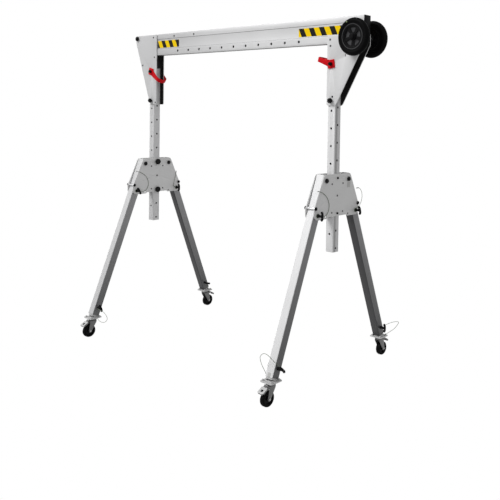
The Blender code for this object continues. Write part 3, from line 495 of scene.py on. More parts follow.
def make_beam():
    length = BEAM_HIGH.x - BEAM_START
    centre = (BEAM_HIGH.x + BEAM_START) / 2
    place = at(centre, 0, BEAM_LOW.z) @ ALONG_X
    waist = BEAM_HALF - RECESS - WALL
    hollow = [(-waist, LOW_BAND + WALL), (waist, LOW_BAND + WALL),
              (waist, BEAM_DEPTH - WALL), (-waist, BEAM_DEPTH - WALL)]
    body = sheet_solid([beam_section(), hollow], length, place)
    cuts = [drill(0.01, 0.06, "Y", MIDDLE - FIRST_HOLE + i * HOLE_PITCH, 0, BEAM_LOW.z + HOLE_UP)
            for i in range(HOLES)]
    cuts += [drill(0.0085, 0.06, "Y", MIDDLE - x, 0, BEAM_HIGH.z - HOLE_DOWN) for x in UPPER_HOLES]
    axle = middle("wheel_axle")
    cuts.append(drill(AXLE_HOLE, 0.06, "Y", axle.x, 0, axle.z))
    mesh = carved(body, cuts)
    for face in mesh.polygons:
        y, z = abs(face.center.y), face.center.z
        within = BEAM_LOW.z + 0.0015 < z < BEAM_HIGH.z - 0.0015
        step = 0.3 < abs(face.normal.z) < 0.9 and abs(face.normal.x) < 0.1
        inside = within and y < BEAM_HALF - WALL + 0.0001
        # Inside faces take the dark bore; the recess's slanting step faces take the painted shade.
        face.material_index = 1 if inside else 2 if step and within else 0
    piece("beam_extrusion", mesh, [BRUSHED_X, BORE, STEP_SHADE], "frame", ["beam"])
    for label, x in (("left", BEAM_START - 0.0023), ("right", BEAM_HIGH.x + 0.0023)):
        cap = sheet_solid([rounded(square(2 * BEAM_HALF, BEAM_DEPTH), 0.003)], 0.004,
                          at(x, 0, (BEAM_LOW.z + BEAM_HIGH.z) / 2) @ ALONG_X)
        piece("beam_end_cap_" + label, cap, BLACK, "frame")


def tape_strip(name, x_from, x_to, front, first_black):
    """Hazard tape in the beam's middle band: slanting stripes cut from one thin strip."""
    low = BEAM_LOW.z + 0.0602
    height = 0.059
    half_pitch = 0.046
    slant = 0.029
    y = front * (BEAM_HALF - RECESS + 0.0002)
    thick = 0.0003
    bm = bmesh.new()
    for k in range(-2, int((x_to - x_from) / half_pitch) + 5):
        left = x_from + k * half_pitch + first_black
        clipped = clip([(left, height), (left + half_pitch, height),
                        (left + half_pitch + slant, 0), (left + slant, 0)], x_from, x_to)
        if len(clipped) < 3:
            continue
        near = [bm.verts.new((x, y + front * thick, low + z)) for x, z in clipped]
        far = [bm.verts.new((x, y, low + z)) for x, z in clipped]
        faces = [bm.faces.new(near), bm.faces.new(list(reversed(far)))]
        for i in range(len(near)):
            j = (i + 1) % len(near)
            faces.append(bm.faces.new((near[i], far[i], far[j], near[j])))
        for face in faces:
            face.material_index = k % 2
    piece(name, mesh_of(bm, name), [TAPE_BLACK, YELLOW], "frame")


def clip(points, low, high):
    """The part of a polygon between two values of its first coordinate."""
    for limit, keep in ((low, 1), (high, -1)):
        out = []
        for (x0, z0), (x1, z1) in zip(points, points[1:] + points[:1]):
            if keep * (x0 - limit) >= 0:
                out.append((x0, z0))
            if (x0 - limit) * (x1 - limit) < 0:
                share = (limit - x0) / (x1 - x0)
                out.append((limit, z0 + share * (z1 - z0)))
        points = out
        if len(points) < 3:
            return []
    return points


# ---- masts
def make_mast(side):
    low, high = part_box("mast_" + side)
    x = MAST_X[side]
    width = high.x - low.x
    section = [rounded(square(width), 0.005, 5), rounded(square(width - 2 * WALL), 0.002, 3)]
    body = sheet_solid(section, high.z - low.z, at(x, 0, (low.z + high.z) / 2), 0.0006)
    base, pitch, drop, radius = 1.5034, 0.12, 0.023, 0.008    # drop: the front holes sit lower
    plain_top = 0.3                                           # no holes between the end plates
    cuts = []
    for k in range(-5, 6):
        z = base + k * pitch
        if z < high.z - plain_top:
            cuts.append(drill(radius, 0.05, "X", x, 0, z))
            if z - drop > low.z + 0.01:
                cuts.append(drill(radius, 0.05, "Y", x, 0, z - drop))
    mesh = carved(body, cuts)
    for face in mesh.polygons:
        off = max(abs(face.center.x - x), abs(face.center.y))
        within = off < width / 2 - WALL + 0.0001 and abs(face.normal.z) < 0.5
        # The +X faces take the side tone, painted darker than the front on the right mast.
        face.material_index = 1 if within else 2 if face.normal.x > 0.8 else 0
    piece("mast_tube_" + side, mesh, [MAST_FRONTS[side], BORE, MAST_SIDES[side]], "frame",
          ["mast_" + side])


# ---- end plates
PLATE_LOW, PLATE_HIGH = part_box("end_plate_left_front")
PLATE_THICK = PLATE_HIGH.y - PLATE_LOW.y
PLATE_PIN_Z = middle("plate_pin_left").z
LEVER_Z = pivot("lever_left_turn").z


def end_plate_outline(side):
    """Outline in X and Z, X measured from the mast, positive away from the beam's middle."""
    low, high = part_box("end_plate_%s_front" % side)
    if side == "left":
        inner, toe, outer, shoulder = 0.07, 0.01, 0.219, 2.410
    else:
        inner, toe, outer, shoulder = 0.038, 0.034, 0.266, 2.276
    sharp = [(-inner, low.z), (toe, low.z), (toe + 0.012, low.z + 0.012), (outer, shoulder),
             (outer, high.z), (-inner, high.z)]
    return rounded(sharp, 0.012, 6)


def make_end_plate(side, end):
    out = ENDS[end]
    low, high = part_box("end_plate_%s_%s" % (side, end))
    sign = SIDES[side]
    x = MAST_X[side]
    y = (low.y + high.y) / 2
    outline = [(sign * u, v) for u, v in end_plate_outline(side)]
    holes = [circle((0, PLATE_PIN_Z), 0.0075), circle((0, LEVER_Z), 0.0095)]
    if side == "right":
        axle = middle("wheel_axle")
        holes.append(circle((axle.x - x, axle.z), AXLE_HOLE))
        slot = arc((0.1186, 2.2150), 0.0035, 0, 180, 8) + arc((0.1186, 2.2050), 0.0035, 180, 360, 8)
        holes.append(slot)
    mesh = sheet_solid([outline] + holes, PLATE_THICK, at(x, y, 0) @ ALONG_Y, 0.0006)
    for face in mesh.polygons:
        # The inner faces are near black.
        face.material_index = 1 if face.normal.y * out < -0.9 else 0
    piece(f"end_plate_panel_{side}_{end}", mesh, [PLATE_FACES[side], INNER_BLACK], "frame",
          [f"end_plate_{side}_{end}"])
    spots = {"left": [(0.0246, 2.446), (0.0406, 2.278), (-0.1224, 2.213), (0.058, 1.893)],
             "right": [(-0.0144, 2.321), (-0.0114, 2.279), (0.012, 1.935)]}[side]
    face_y = high.y if out > 0 else low.y
    places = [at(x + u, face_y - out * 0.0002, v) @ flipped(out) for u, v in spots]
    piece(f"end_plate_screws_{side}_{end}",
          group_of(button_screw(0.0068, 0.003, "Y"), places), SCREW, "frame")


def make_corner_bumper():
    """Round rubber bumpers at the left end plates' upper outer corner."""
    radius, z = 0.0195, 2.446
    x = PLATE_LOW.x + radius
    for end, out in ENDS.items():
        y = -out * PLATE_LOW.y
        knob = [(0, 0.0165), (radius * 0.55, 0.0165), (radius, 0.01), (radius, 0.001), (0, 0.001)]
        piece("corner_bumper_" + end, lathe(knob, "Y", 32, 0.003), BLACK, "frame",
              place=at(x, y, z) @ flipped(out))


def make_plate_pin(side):
    low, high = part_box("plate_pin_" + side)
    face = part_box("end_plate_left_rear")[1].y + GAP
    front = -low.y
    profile = [(0, -front), (0.0145, -front), (0.0175, -front + 0.005), (0.0175, -face - 0.006),
               (0.011, -face), (0.007, -face), (0.007, high.y - 0.003), (0.005, high.y), (0, high.y)]
    piece("plate_pin_knob_" + side, lathe(profile, "Y", 36, 0.0012), BLACK, "plate_pin_" + side,
          ["plate_pin_" + side], at(MAST_X[side], 0, PLATE_PIN_Z))


# ---- levers
LEVER_TURN = {"left": 38.0, "right": -163.0}


def make_lever(side):
    """Bail handle: a square head each side on the pin, two arms and a strap bowed round the end."""
    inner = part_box("end_plate_left_rear")[1].y + GAP
    bar, reach, straight, width, root, block = 0.006, 0.142, 0.102, 0.032, 0.05, 0.058
    outer = inner + bar
    bow = reach - straight
    angles = [math.radians(180 * i / 24) for i in range(25)]
    around = [(straight + bow * math.sin(t), -outer * math.cos(t)) for t in angles]
    inside = [(straight + (bow - bar) * math.sin(t), inner * math.cos(t)) for t in angles]
    outline = [(0.03, -outer)] + around + [(0.03, outer), (0.03, inner)] + inside + [(0.03, -inner)]
    shapes = [sheet_solid([outline], width, ALONG_Z, 0.0014)]
    arm = rounded([(0, -root / 2), (straight, -width / 2), (straight, width / 2), (0, root / 2)], 0.003)
    head_turn = Matrix.Rotation(-math.radians(24), 4, "Y")
    for y in (-inner - bar / 2, inner + bar / 2):
        head = head_turn @ ALONG_Y
        shapes.append(sheet_solid([rounded(square(block), 0.004, 4)], bar, at(0, y, 0) @ head, 0.0012))
        shapes.append(sheet_solid([arm], bar - 0.0004, at(0, y, 0) @ ALONG_Y, 0.001))
    turn = Matrix.Rotation(math.radians(LEVER_TURN[side]), 4, "Y")
    place = at(MAST_X[side], 0, LEVER_Z) @ turn
    piece("lever_bail_" + side, joined(shapes), RED, "lever_" + side, ["lever_" + side], place)
    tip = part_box("lever_" + side)[1].y
    half = [(0, tip), (0.0095, tip), (0.0125, tip - 0.003), (0.0125, outer + 0.0001), (0.009, outer)]
    piece("lever_pin_" + side, lathe(both_ends(half), "Y", 32, 0.0008), BLACK, "lever_" + side,
          place=place)


# ---- transport wheels
def make_wheel_axle():
    centre = middle("wheel_axle")
    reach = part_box("wheel_axle")[1].y
    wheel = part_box("transport_wheel_rear")
    inner = wheel[0].y - GAP
    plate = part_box("end_plate_left_rear")[1].y + GAP
    outer = wheel[1].y + 0.0006
    half = [(0, reach - 0.001), (0.01, reach - 0.001), (0.0145, reach - 0.004), (0.015, outer),
            (0.01, outer), (0.01, inner), (0.016, inner), (0.016, plate), (0.01, plate)]
    piece("wheel_axle_turned", lathe(both_ends(half), "Y", 36, 0.0006), SILVER, "frame",
          ["wheel_axle"], at(centre.x, 0, centre.z))
    for end, out in ENDS.items():
        start = wheel[1].y + 0.0008
        deep = reach - start
        cap = [(0, deep), (0.01, deep), (0.0175, deep - 0.005), (0.018, 0), (0.0155, 0),
               (0.0152, deep - 0.0005), (0, deep - GAP)]
        piece("axle_cap_" + end, lathe(cap, "Y", 32), BLACK, "frame",
              place=at(centre.x, out * start, centre.z) @ flipped(out))


def make_transport_wheel(end):
    low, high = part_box("transport_wheel_" + end)
    centre = (low + high) / 2
    radius, half = (high.z - low.z) / 2, (high.y - low.y) / 2
    body = "transport_wheel_" + end
    tread = arc((radius - half, 0), half, -72, 72, 14)
    tread[7] = (radius, 0)
    sidewall = [(0.0755, -half + 0.005), (0.078, -half + 0.002), (0.083, -half + 0.0015),
                (0.085, -half + 0.003), (0.096, -half + 0.0022), (0.099, -half + 0.0008)]
    profile = sidewall + tread + [(r, -h) for r, h in reversed(sidewall)]
    tyre = lathe(profile + [profile[0]], "Y", 72)
    piece("tyre_" + end, tyre, TYRE, body, [body], at(*centre))
    # The ring on the front tyre is a painted highlight; on the rear it is tyre black.
    for sign in (-1, 1):
        bead = [(r, sign * (half - deep)) for r, deep in ((0.0772, 0.0035), (0.0788, 0.0012),
                                                          (0.0832, 0.0008), (0.0848, 0.0032))]
        piece("tyre_bead_%s_%s" % (end, "front" if sign < 0 else "rear"), lathe(bead + [bead[0]], "Y", 72),
              RING_HIGHLIGHT if end == "front" else TYRE, body, place=at(*centre))
    rim = [(0.0105, -half), (0.02, -half), (0.0225, -half + 0.003), (0.0225, -0.012), (0.064, -0.012),
           (0.068, -half + 0.0045), (0.074, -half + 0.0035), (0.0755, -half + 0.006)]
    disc = lathe(ring_of(rim), "Y", 60)
    windows = []
    spokes = 5
    spread = 23.0
    for i in range(spokes):
        outline = (arc((0, 0), 0.06, -spread, spread, 8)
                   + arc((0, 0), 0.027, spread * 0.8, -spread * 0.8, 4))
        angle = math.radians(90 + (i + 0.5) * 360 / spokes)
        turn = Matrix.Rotation(angle, 4, "Y") @ ALONG_Y
        windows.append(sheet_solid([rounded(outline, 0.003, 3)], 0.06, turn, 0.0001))
    piece("rim_" + end, carved(disc, windows), BLACK, body, place=at(*centre), bevel=0.0008)
    web = lathe([(0.023, -0.004), (0.064, -0.007), (0.064, 0.007), (0.023, 0.004), (0.023, -0.004)],
                "Y", 60)
    # Painted shade: the rear wheel's web is black, the front's grey.
    look = RIM_GREY if end == "front" else BLACK
    piece("rim_web_" + end, web, look, body, place=at(*centre))
    out = ENDS[end]
    # Painted highlight: a small glint disc on the tyre's upper left shoulder.
    glint_disc = rod(0.0035, 0, 0.0012, "Y", 16, 0.0004)
    angle = math.radians(115)
    spot = Vector((0.106 * math.cos(angle), out * (half - 0.0012), 0.106 * math.sin(angle)))
    piece("tyre_glint_" + end, glint_disc, TYRE_GLINT, body, place=at(*(centre + spot)) @ flipped(out))


# ---- hubs
SPLAY = math.radians(20.8)
HUB_LOW, HUB_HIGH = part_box("hub_plate_left_plain")
HUB_SHOULDER = 0.151
HUB_OUT = HUB_HIGH.x - MAST_X["left"]
HUB_IN = HUB_LOW.x - MAST_X["left"]
LOCK_REACH = 0.241      # lock pin's hole, below the leg's pivot
STOP_REACH = 0.204      # stop bolt, below the pivot and out from the leg's axis
STOP_OUT = 0.03955
LEG_PIVOT = pivot("leg_left_rear_fold")
MAST_PINS_Z = [middle("mast_pin_left_lower").z, middle("mast_pin_left_upper").z]


def leg_point(reach, out=0.0, splay=SPLAY):
    """Y and Z of a point on a rear leg's axis, reach below its pivot and out from it."""
    y = LEG_PIVOT.y + reach * math.sin(splay) + out * math.cos(splay)
    z = LEG_PIVOT.z - reach * math.cos(splay) + out * math.sin(splay)
    return y, z


def hub_outline():
    half = arc((HUB_SHOULDER - 0.03, HUB_HIGH.z - 0.03), 0.03, 90, 22, 8)
    half += arc((HUB_HIGH.y - 0.04, 1.180), 0.04, 20, 0, 4)
    half += arc((HUB_HIGH.y - 0.04, HUB_LOW.z + 0.04), 0.04, 0, -90, 10)
    half += arc((0.118, HUB_LOW.z + 0.01), 0.01, -90, -180, 4)[1:-1]
    half.append((0.098, HUB_LOW.z + 0.01))
    return half + [(-u, v) for u, v in reversed(half)]


def make_hub_plate(side, face):
    x = MAST_X[side] + face * (HUB_IN + HUB_OUT) / 2
    holes = [circle((0, z), 0.008) for z in MAST_PINS_Z]
    holes.append(circle((0, sum(MAST_PINS_Z) / 2), 0.008))
    for sign in (-1, 1):
        holes.append(circle((sign * LEG_PIVOT.y, LEG_PIVOT.z), 0.0085))
        y, z = leg_point(LOCK_REACH)
        holes.append(circle((sign * y, z), 0.0066))
        y, z = leg_point(LOCK_REACH, splay=0.0)
        holes.append(circle((sign * y, z), 0.0066, 20))
    name = "hub_plate_%s_%s" % (side, "plain" if face > 0 else "studs")
    mesh = sheet_solid([hub_outline()] + holes, HUB_OUT - HUB_IN, at(x, 0, 0) @ ALONG_X, 0.0007)
    piece("hub_cheek_%s_%s" % (side, "inner" if face * SIDES[side] < 0 else "outer"), mesh, HUB_FACES[side],
          "hub_" + side, [name])
    spots = [(sign * 0.059, z) for sign in (-1, 1) for z in (1.346, 1.152)]
    places = [at(MAST_X[side] + face * (HUB_OUT - 0.0002), y, z) @ flipped(face, "Z") for y, z in spots]
    piece("hub_screws_%s_%s" % (side, "right" if face > 0 else "left"),
          group_of(button_screw(0.006, 0.003, "X"), places), SCREW, "hub_" + side)


def make_guide(side):
    low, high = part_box("guide_" + side)
    x = MAST_X[side]
    width = 0.064
    outer = rounded(square(high.x - low.x, high.y - low.y), 0.002, 3)
    mesh = sheet_solid([outer, rounded(square(width), 0.004, 4)], high.z - low.z,
                       at(x, 0, (low.z + high.z) / 2), 0.0008)
    piece("guide_block_" + side, mesh, INNER_BLACK, "hub_" + side, ["guide_" + side])


def make_stop_bolt(side, end):
    """Stop bolt across the hub outside the leg: a bright rod between two round black heads."""
    reach = MAST_X[side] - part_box("hub_plate_%s_studs" % side)[0].x
    y, z = leg_point(STOP_REACH, STOP_OUT)
    place = at(MAST_X[side], ENDS[end] * y, z)
    name = f"{side}_{end}"
    piece("stop_bolt_" + name, rod(0.0072, -HUB_OUT, HUB_OUT, "X", 24, 0.0004), SILVER, "hub_" + side,
          place=place)
    long = reach - HUB_OUT - 0.0002
    head = [(0, 0), (0.0118, 0), (0.0118, long - 0.003), (0.0085, long), (0, long)]
    for label, facing in (("outer", 1), ("inner", -1)):
        piece(f"stop_cap_{name}_{label}", lathe(head, "X", 28, 0.0015), BLACK, "hub_" + side,
              place=place @ flipped(facing, "Z") @ at(HUB_OUT + 0.0002, 0, 0))


def make_mast_pin(side, level):
    name = f"mast_pin_{side}_{level}"
    low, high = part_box(name)
    sign = -SIDES[side]
    x = MAST_X[side]
    knob = (high.x - x) if sign > 0 else (x - low.x)
    tail = (x - low.x) if sign > 0 else (high.x - x)
    radius = (high.y - low.y) / 2
    face = HUB_OUT + GAP
    profile = [(0, -tail), (0.005, -tail), (0.007, -tail + 0.004), (0.007, face), (0.015, face),
               (0.016, face + 0.004), (radius, face + 0.008), (radius, knob - 0.007),
               (radius - 0.006, knob - 0.0005), (radius - 0.01, knob), (0.008, knob - 0.0015),
               (0, knob - 0.0015)]
    piece(name + "_knob", lathe(profile, "X", 44, 0.0015), KNOB, name, [name],
          at(x, 0, (low.z + high.z) / 2) @ flipped(sign, "Z"))


# ---- legs and feet
LEG_WIDTH = 0.0635
LEG_HEAD = 0.033                                             # tube above the pivot
LEG_FOOT = (LEG_PIVOT.z - 0.171) / math.cos(SPLAY)           # tube below it
FOOT_PIN_REACH = (LEG_PIVOT.z - 0.228) / math.cos(SPLAY)


def make_leg(side, end):
    name = f"leg_{side}_{end}"
    sign = ENDS[end]
    origin = pivot(name + "_fold")
    head, foot = LEG_HEAD, LEG_FOOT
    section = [rounded(square(LEG_WIDTH), 0.006, 6), rounded(square(LEG_WIDTH - 2 * WALL), 0.002, 3)]
    body = sheet_solid(section, foot + head, at(0, 0, (head - foot) / 2), 0.0006)
    cuts = [drill(radius, 0.05, "X", 0, 0, -reach)
            for radius, reach in ((0.0085, 0), (0.0065, LOCK_REACH), (0.0065, FOOT_PIN_REACH))]
    mesh = carved(body, cuts)
    for face in mesh.polygons:
        across = face.normal.y * sign
        off = max(abs(face.center.x), abs(face.center.y))
        inside = off < LEG_WIDTH / 2 - WALL + 0.0001 and abs(face.normal.z) < 0.5
        flank = abs(face.normal.x) > 0.8
        # Painted light: outer faces lit; the flanks and inner faces in painted shade.
        face.material_index = 3 if inside else 1 if flank else 2 if across < -0.6 else 0
    place = at(*origin) @ Matrix.Rotation(sign * SPLAY, 4, "X")
    piece(f"leg_tube_{side}_{end}", mesh, [LEG_FRONTS[side], LEG_SIDES[side], LEG_INNER_SHADE, BORE], name,
          [name], place)
    plug = sheet_solid([rounded(square(LEG_WIDTH - 2 * WALL - 0.0004), 0.002, 3)], 0.008,
                       at(0, 0, head - 0.0045), 0.0006)
    piece(f"leg_plug_{side}_{end}", plug, BLACK, name, place=place)


def make_leg_bolt(side, end):
    name = f"leg_bolt_{side}_{end}"
    low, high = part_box(name)
    centre = (low + high) / 2
    reach = (high.x - low.x) / 2
    radius = 0.0155
    half = [(0, reach - 0.0015), (0.005, reach), (radius - 0.004, reach - 0.001), (radius, reach - 0.005),
            (radius, HUB_OUT + GAP), (0.008, HUB_OUT + GAP)]
    piece(f"leg_bolt_cap_{side}_{end}", lathe(both_ends(half), "X", 32, 0.0012), KNOB, "hub_" + side,
          [name], at(*centre))


def make_foot(side, end):
    name = f"foot_{side}_{end}"
    sign = ENDS[end]
    body = f"leg_{side}_{end}"
    swivel = pivot(f"castor_fork_{side}_{end}_swivel")
    top = swivel.z + 0.008
    plate = sheet_solid([rounded(square(0.1), 0.008, 5)], 0.008, at(0, 0, -0.004), 0.0008)
    tilt = Matrix.Rotation(sign * SPLAY, 4, "X")
    insert = sheet_solid([rounded(square(0.0524), 0.003, 4)], 0.17, tilt @ at(0, 0, 0.09), 0.0004)
    skirt = box_cut(insert, -0.0001)
    piece(f"foot_plate_{side}_{end}", joined([plate, skirt]), ZINC, body, [name],
          at(swivel.x, swivel.y, top))
    nuts = [at(u, v, 0) for u in (-0.036, 0.036) for v in (-0.036, 0.036)]
    piece(f"foot_nuts_{side}_{end}", group_of(hex_nut(0.008, 0.006), nuts), ZINC, body,
          place=at(swivel.x, swivel.y, top))
    around = ((1, 1), (0, 1), (-1, 1), (-1, 0), (-1, -1), (0, -1), (1, -1), (1, 0), (1, 1))
    ring = [(u * 0.0265, v * 0.029, 0.002) for u, v in around]
    bead = from_curve(wire_curve("bead", ring, 0.003, 2))
    piece(f"foot_weld_{side}_{end}", bead, ZINC, body, place=at(swivel.x, swivel.y, top))


def box_cut(mesh, level):
    """The part of a mesh above a level."""
    bm = bmesh.new()
    bm.from_mesh(mesh)
    bmesh.ops.bisect_plane(bm, geom=bm.verts[:] + bm.edges[:] + bm.faces[:], plane_co=(0, 0, level),
                           plane_no=(0, 0, 1), clear_inner=True)
    return mesh_of(bm, "trimmed")


def hex_nut(radius, height):
    profile = [(0, 0), (radius, 0), (radius, height), (0, height)]
    nut = lathe(profile, "Z", 6)
    bolt = rod(radius * 0.52, 0, height + 0.004, "Z", 16, 0.0006)
    return joined([nut, bolt])


BAR_TURNS = {"leg_pin_left_front": 30.0, "leg_pin_right_rear": 15.0, "foot_pin_left_front": 20.0,
             "foot_pin_right_front": 46.0, "foot_pin_left_rear": 73.0}


def make_t_pin(name, face):
    """Lock pin along X: black stem and a bowed T handle on the +X side, turned by its bar turn."""
    low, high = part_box(name)
    centre = (low + high) / 2
    thick, half, bow = 0.0086, 0.033, 0.005
    out = high.x - 0.0092
    tail = low.x - out
    start = face - out
    stem = lathe([(0, tail), (0.004, tail), (0.006, tail + 0.003), (0.006, start), (0.0102, start),
                  (0.0102, start + 0.012), (0.0085, start + 0.016), (0.0085, 0), (0, 0)], "X", 28, 0.0006)
    handle = bent_bar([(-bow, 0, -half + thick), (-bow / 5, 0, -half / 2), (0, 0, 0),
                       (-bow / 5, 0, half / 2), (-bow, 0, half - thick)], thick)
    ball = arc((0, 0), thick, -90, 90, 12)
    ends = [lathe(ball, "Z", 24, 0, (-bow, 0, s * (half - thick))) for s in (-1, 1)]
    spin = Matrix.Rotation(math.radians(BAR_TURNS.get(name, 0.0)), 4, "X")
    place = at(out, centre.y, centre.z)
    piece(name + "_stem", stem, BLACK, name, [name], place)
    piece(name + "_handle", joined([handle] + ends), BLACK, name, place=place @ spin)


# ---- lanyards
CORD_R = 0.0015
ARC_ROUTE = [(0.217, 1.307), (0.205, 1.309), (0.19, 1.305), (0.165, 1.296), (0.14, 1.282),
             (0.117, 1.263), (0.101, 1.240), (0.092, 1.216), (0.091, 1.192), (0.098, 1.168),
             (0.112, 1.149), (0.13, 1.138)]
HANGING_ROUTE = [(0.203, 1.294), (0.2005, 1.278), (0.197, 1.262), (0.193, 1.246), (0.1885, 1.230),
                 (0.184, 1.214), (0.179, 1.198), (0.175, 1.182), (0.172, 1.166)]
OUTER_ROUTE = [(0.207, 1.300), (0.222, 1.303), (0.24, 1.299), (0.257, 1.288), (0.27, 1.271),
               (0.277, 1.250), (0.277, 1.228), (0.271, 1.207), (0.26, 1.189), (0.247, 1.174)]
LANYARD_ROUTES = {"left_front": ARC_ROUTE, "right_front": ARC_ROUTE,
                  "left_rear": HANGING_ROUTE, "right_rear": OUTER_ROUTE}


def sleeve(name, start, end, radius, body):
    """A crimped metal sleeve round a cord between two points."""
    axis = end - start
    long = axis.length
    shape = lathe([(0, 0), (radius, 0), (radius, long * 0.35), (radius * 0.8, long * 0.5),
                   (radius, long * 0.65), (radius, long), (0, long)], "Z", 16, 0.0004)
    turn = axis.to_track_quat("Z", "Y").to_matrix().to_4x4()
    return piece(name, shape, CRIMP, body, place=at(*start) @ turn)


def lay_cord(name, points, radius=CORD_R):
    """A cord through the points."""
    mesh = from_curve(wire_curve(name, points, radius))
    mesh.materials.append(CORD)
    mesh.shade_smooth()
    wire = linked(name, mesh)
    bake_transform(wire)
    return wire


def make_hub_lanyard(side, end):
    """Steel cord from the hub plate's edge to a ring round the lock pin's stem."""
    where = f"{side}_{end}"
    name = "lanyard_" + where
    hub_route = LANYARD_ROUTES[where]
    sign = ENDS[end]
    x = MAST_X[side] + HUB_OUT + CORD_R + 0.0012
    y, z = leg_point(LOCK_REACH)
    ring = 0.0135
    start = math.atan2(hub_route[-1][1] - z, hub_route[-1][0] - y)
    loop = [(y + ring * math.cos(start + a), z + ring * math.sin(start + a))
            for a in [math.radians(20 + 320 * i / 9) for i in range(10)]]
    lead = [(y + (ring + 0.016) * math.cos(start + 0.12), z + (ring + 0.016) * math.sin(start + 0.12))]
    route = [Vector((x, sign * u, v)) for u, v in hub_route + lead + loop]
    points = curve_points(route, 4)
    ferrule = sleeve(name + "_crimp", points[1], points[7], 0.003, "hub_" + side)
    wire = lay_cord(name + "_wire", points)
    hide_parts(name)


# Each point is the place from the foot pin: along X, up, and out from the crane's middle.
FRONT_FOOT_ROUTE = [(-0.044, -0.0652, 0.022), (-0.046, -0.052, 0.025), (-0.052, -0.03, 0.03),
                    (-0.058, 0.002, 0.045), (-0.058, 0.036, 0.061), (-0.052, 0.07, 0.075),
                    (-0.04, 0.088, 0.079), (-0.018, 0.104, 0.082), (0.008, 0.108, 0.084),
                    (0.03, 0.098, 0.08), (0.046, 0.078, 0.068), (0.053, 0.05, 0.043),
                    (0.0535, 0.012, 0.0)]
WIDE_FOOT_ROUTE = [(0.046, -0.0655, 0.03), (0.075, -0.041, 0.052), (0.112, -0.01, 0.064),
                   (0.14, 0.027, 0.07), (0.143, 0.045, 0.075), (0.11, 0.041, 0.07),
                   (0.078, 0.028, 0.045), (0.0535, 0.0115, 0.0)]
SHORT_FOOT_ROUTE = [(0.046, -0.0655, 0.026), (0.056, -0.05, 0.02), (0.058, -0.03, 0.012),
                    (0.0535, -0.0115, 0.0)]
LOW_FOOT_ROUTE = [(0.0517, -0.077, 0.02), (0.075, -0.094, 0.018), (0.11, -0.102, 0.012),
                  (0.145, -0.092, 0.008), (0.168, -0.068, 0.006), (0.166, -0.046, 0.008),
                  (0.145, -0.022, 0.014), (0.112, -0.006, 0.022), (0.082, 0.000, 0.03),
                  (0.061, 0.002, 0.024), (0.0535, 0.0, 0.012)]
FOOT_ROUTES = {"left_front": LOW_FOOT_ROUTE, "right_front": FRONT_FOOT_ROUTE,
               "left_rear": SHORT_FOOT_ROUTE, "right_rear": WIDE_FOOT_ROUTE}


def make_foot_lanyard(side, end):
    """Steel cord from the foot plate to the stem of the foot pin."""
    where = f"{side}_{end}"
    centre = middle("foot_pin_" + where)
    sign = ENDS[end]
    route = [Vector((MAST_X[side] + u, centre.y + sign * away, centre.z + up))
             for u, up, away in FOOT_ROUTES[where]]
    points = curve_points(route, 5)
    lay_cord("foot_lanyard_" + where, points)


# ---- castors
def make_castor(side, end):
    where = f"{side}_{end}"
    sign = ENDS[end]
    swivel = pivot(f"castor_fork_{where}_swivel")
    axle = pivot(f"castor_wheel_{where}_spin") - swivel
    low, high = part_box("castor_wheel_" + where)
    radius, half = (high.z - low.z) / 2, (high.x - low.x) / 2
    fork = "castor_fork_" + where
    gap, side_thick = 0.0195, 0.003
    race = lathe([(0, -0.0003), (0.03, -0.0003), (0.031, -0.004), (0.028, -0.006), (0.031, -0.008),
                  (0.031, -0.012), (0.027, -0.0163), (0, -0.0163)], "Z", 40, 0.0006)
    crown = sheet_solid([rounded(square(2 * (gap + side_thick), 0.052), 0.006, 5)], 0.005,
                        at(0, sign * 0.004, -0.019), 0.001)
    shapes = [race, crown]
    for s in (-1, 1):
        trail = axle.y * sign
        cheek = [(-0.022, -0.0165), (-0.019, -0.033), (trail - 0.013, axle.z),
                 (trail - 0.007, axle.z - 0.012), (trail + 0.007, axle.z - 0.012),
                 (trail + 0.013, axle.z), (0.035, -0.028), (0.03, -0.0165)]
        outline = rounded([(sign * u, v) for u, v in cheek], 0.006, 4)
        hole = circle((axle.y, axle.z), 0.0055, 20)
        shapes.append(sheet_solid([outline, hole], side_thick,
                                  at(s * (gap + side_thick / 2), 0, 0) @ ALONG_X, 0.0008))
    piece("fork_" + where, joined(shapes), ZINC_DARK, fork, [fork], at(*swivel))
    reach = 0.0275
    bolt = lathe(both_ends([(0, reach), (0.0075, reach), (0.0075, gap + side_thick),
                            (0.005, gap + side_thick)]), "X", 6)
    piece("castor_bolt_" + where, bolt, ZINC, fork, place=at(*(swivel + axle)), bevel=0.0005)
    tread = half - 0.0015
    rubber = [(0.034, -tread + 0.003), (0.037, -tread), (radius - 0.005, -tread),
              (radius - 0.0015, -tread + 0.003), (radius, -tread * 0.5)]
    piece("castor_tyre_" + where, lathe(ring_of(rubber), "X", 56), TYRE, "castor_wheel_" + where,
          ["castor_wheel_" + where], at(*(swivel + axle)))
    core = [(0.0065, -half), (0.012, -half), (0.0135, -half + 0.002), (0.0135, -0.006), (0.03, -0.006),
            (0.0325, -tread + 0.003), (0.0345, -tread + 0.003)]
    piece("castor_core_" + where, lathe(ring_of(core), "X", 40), BLACK, "castor_wheel_" + where,
          place=at(*(swivel + axle)))
    make_pedal(where, sign)


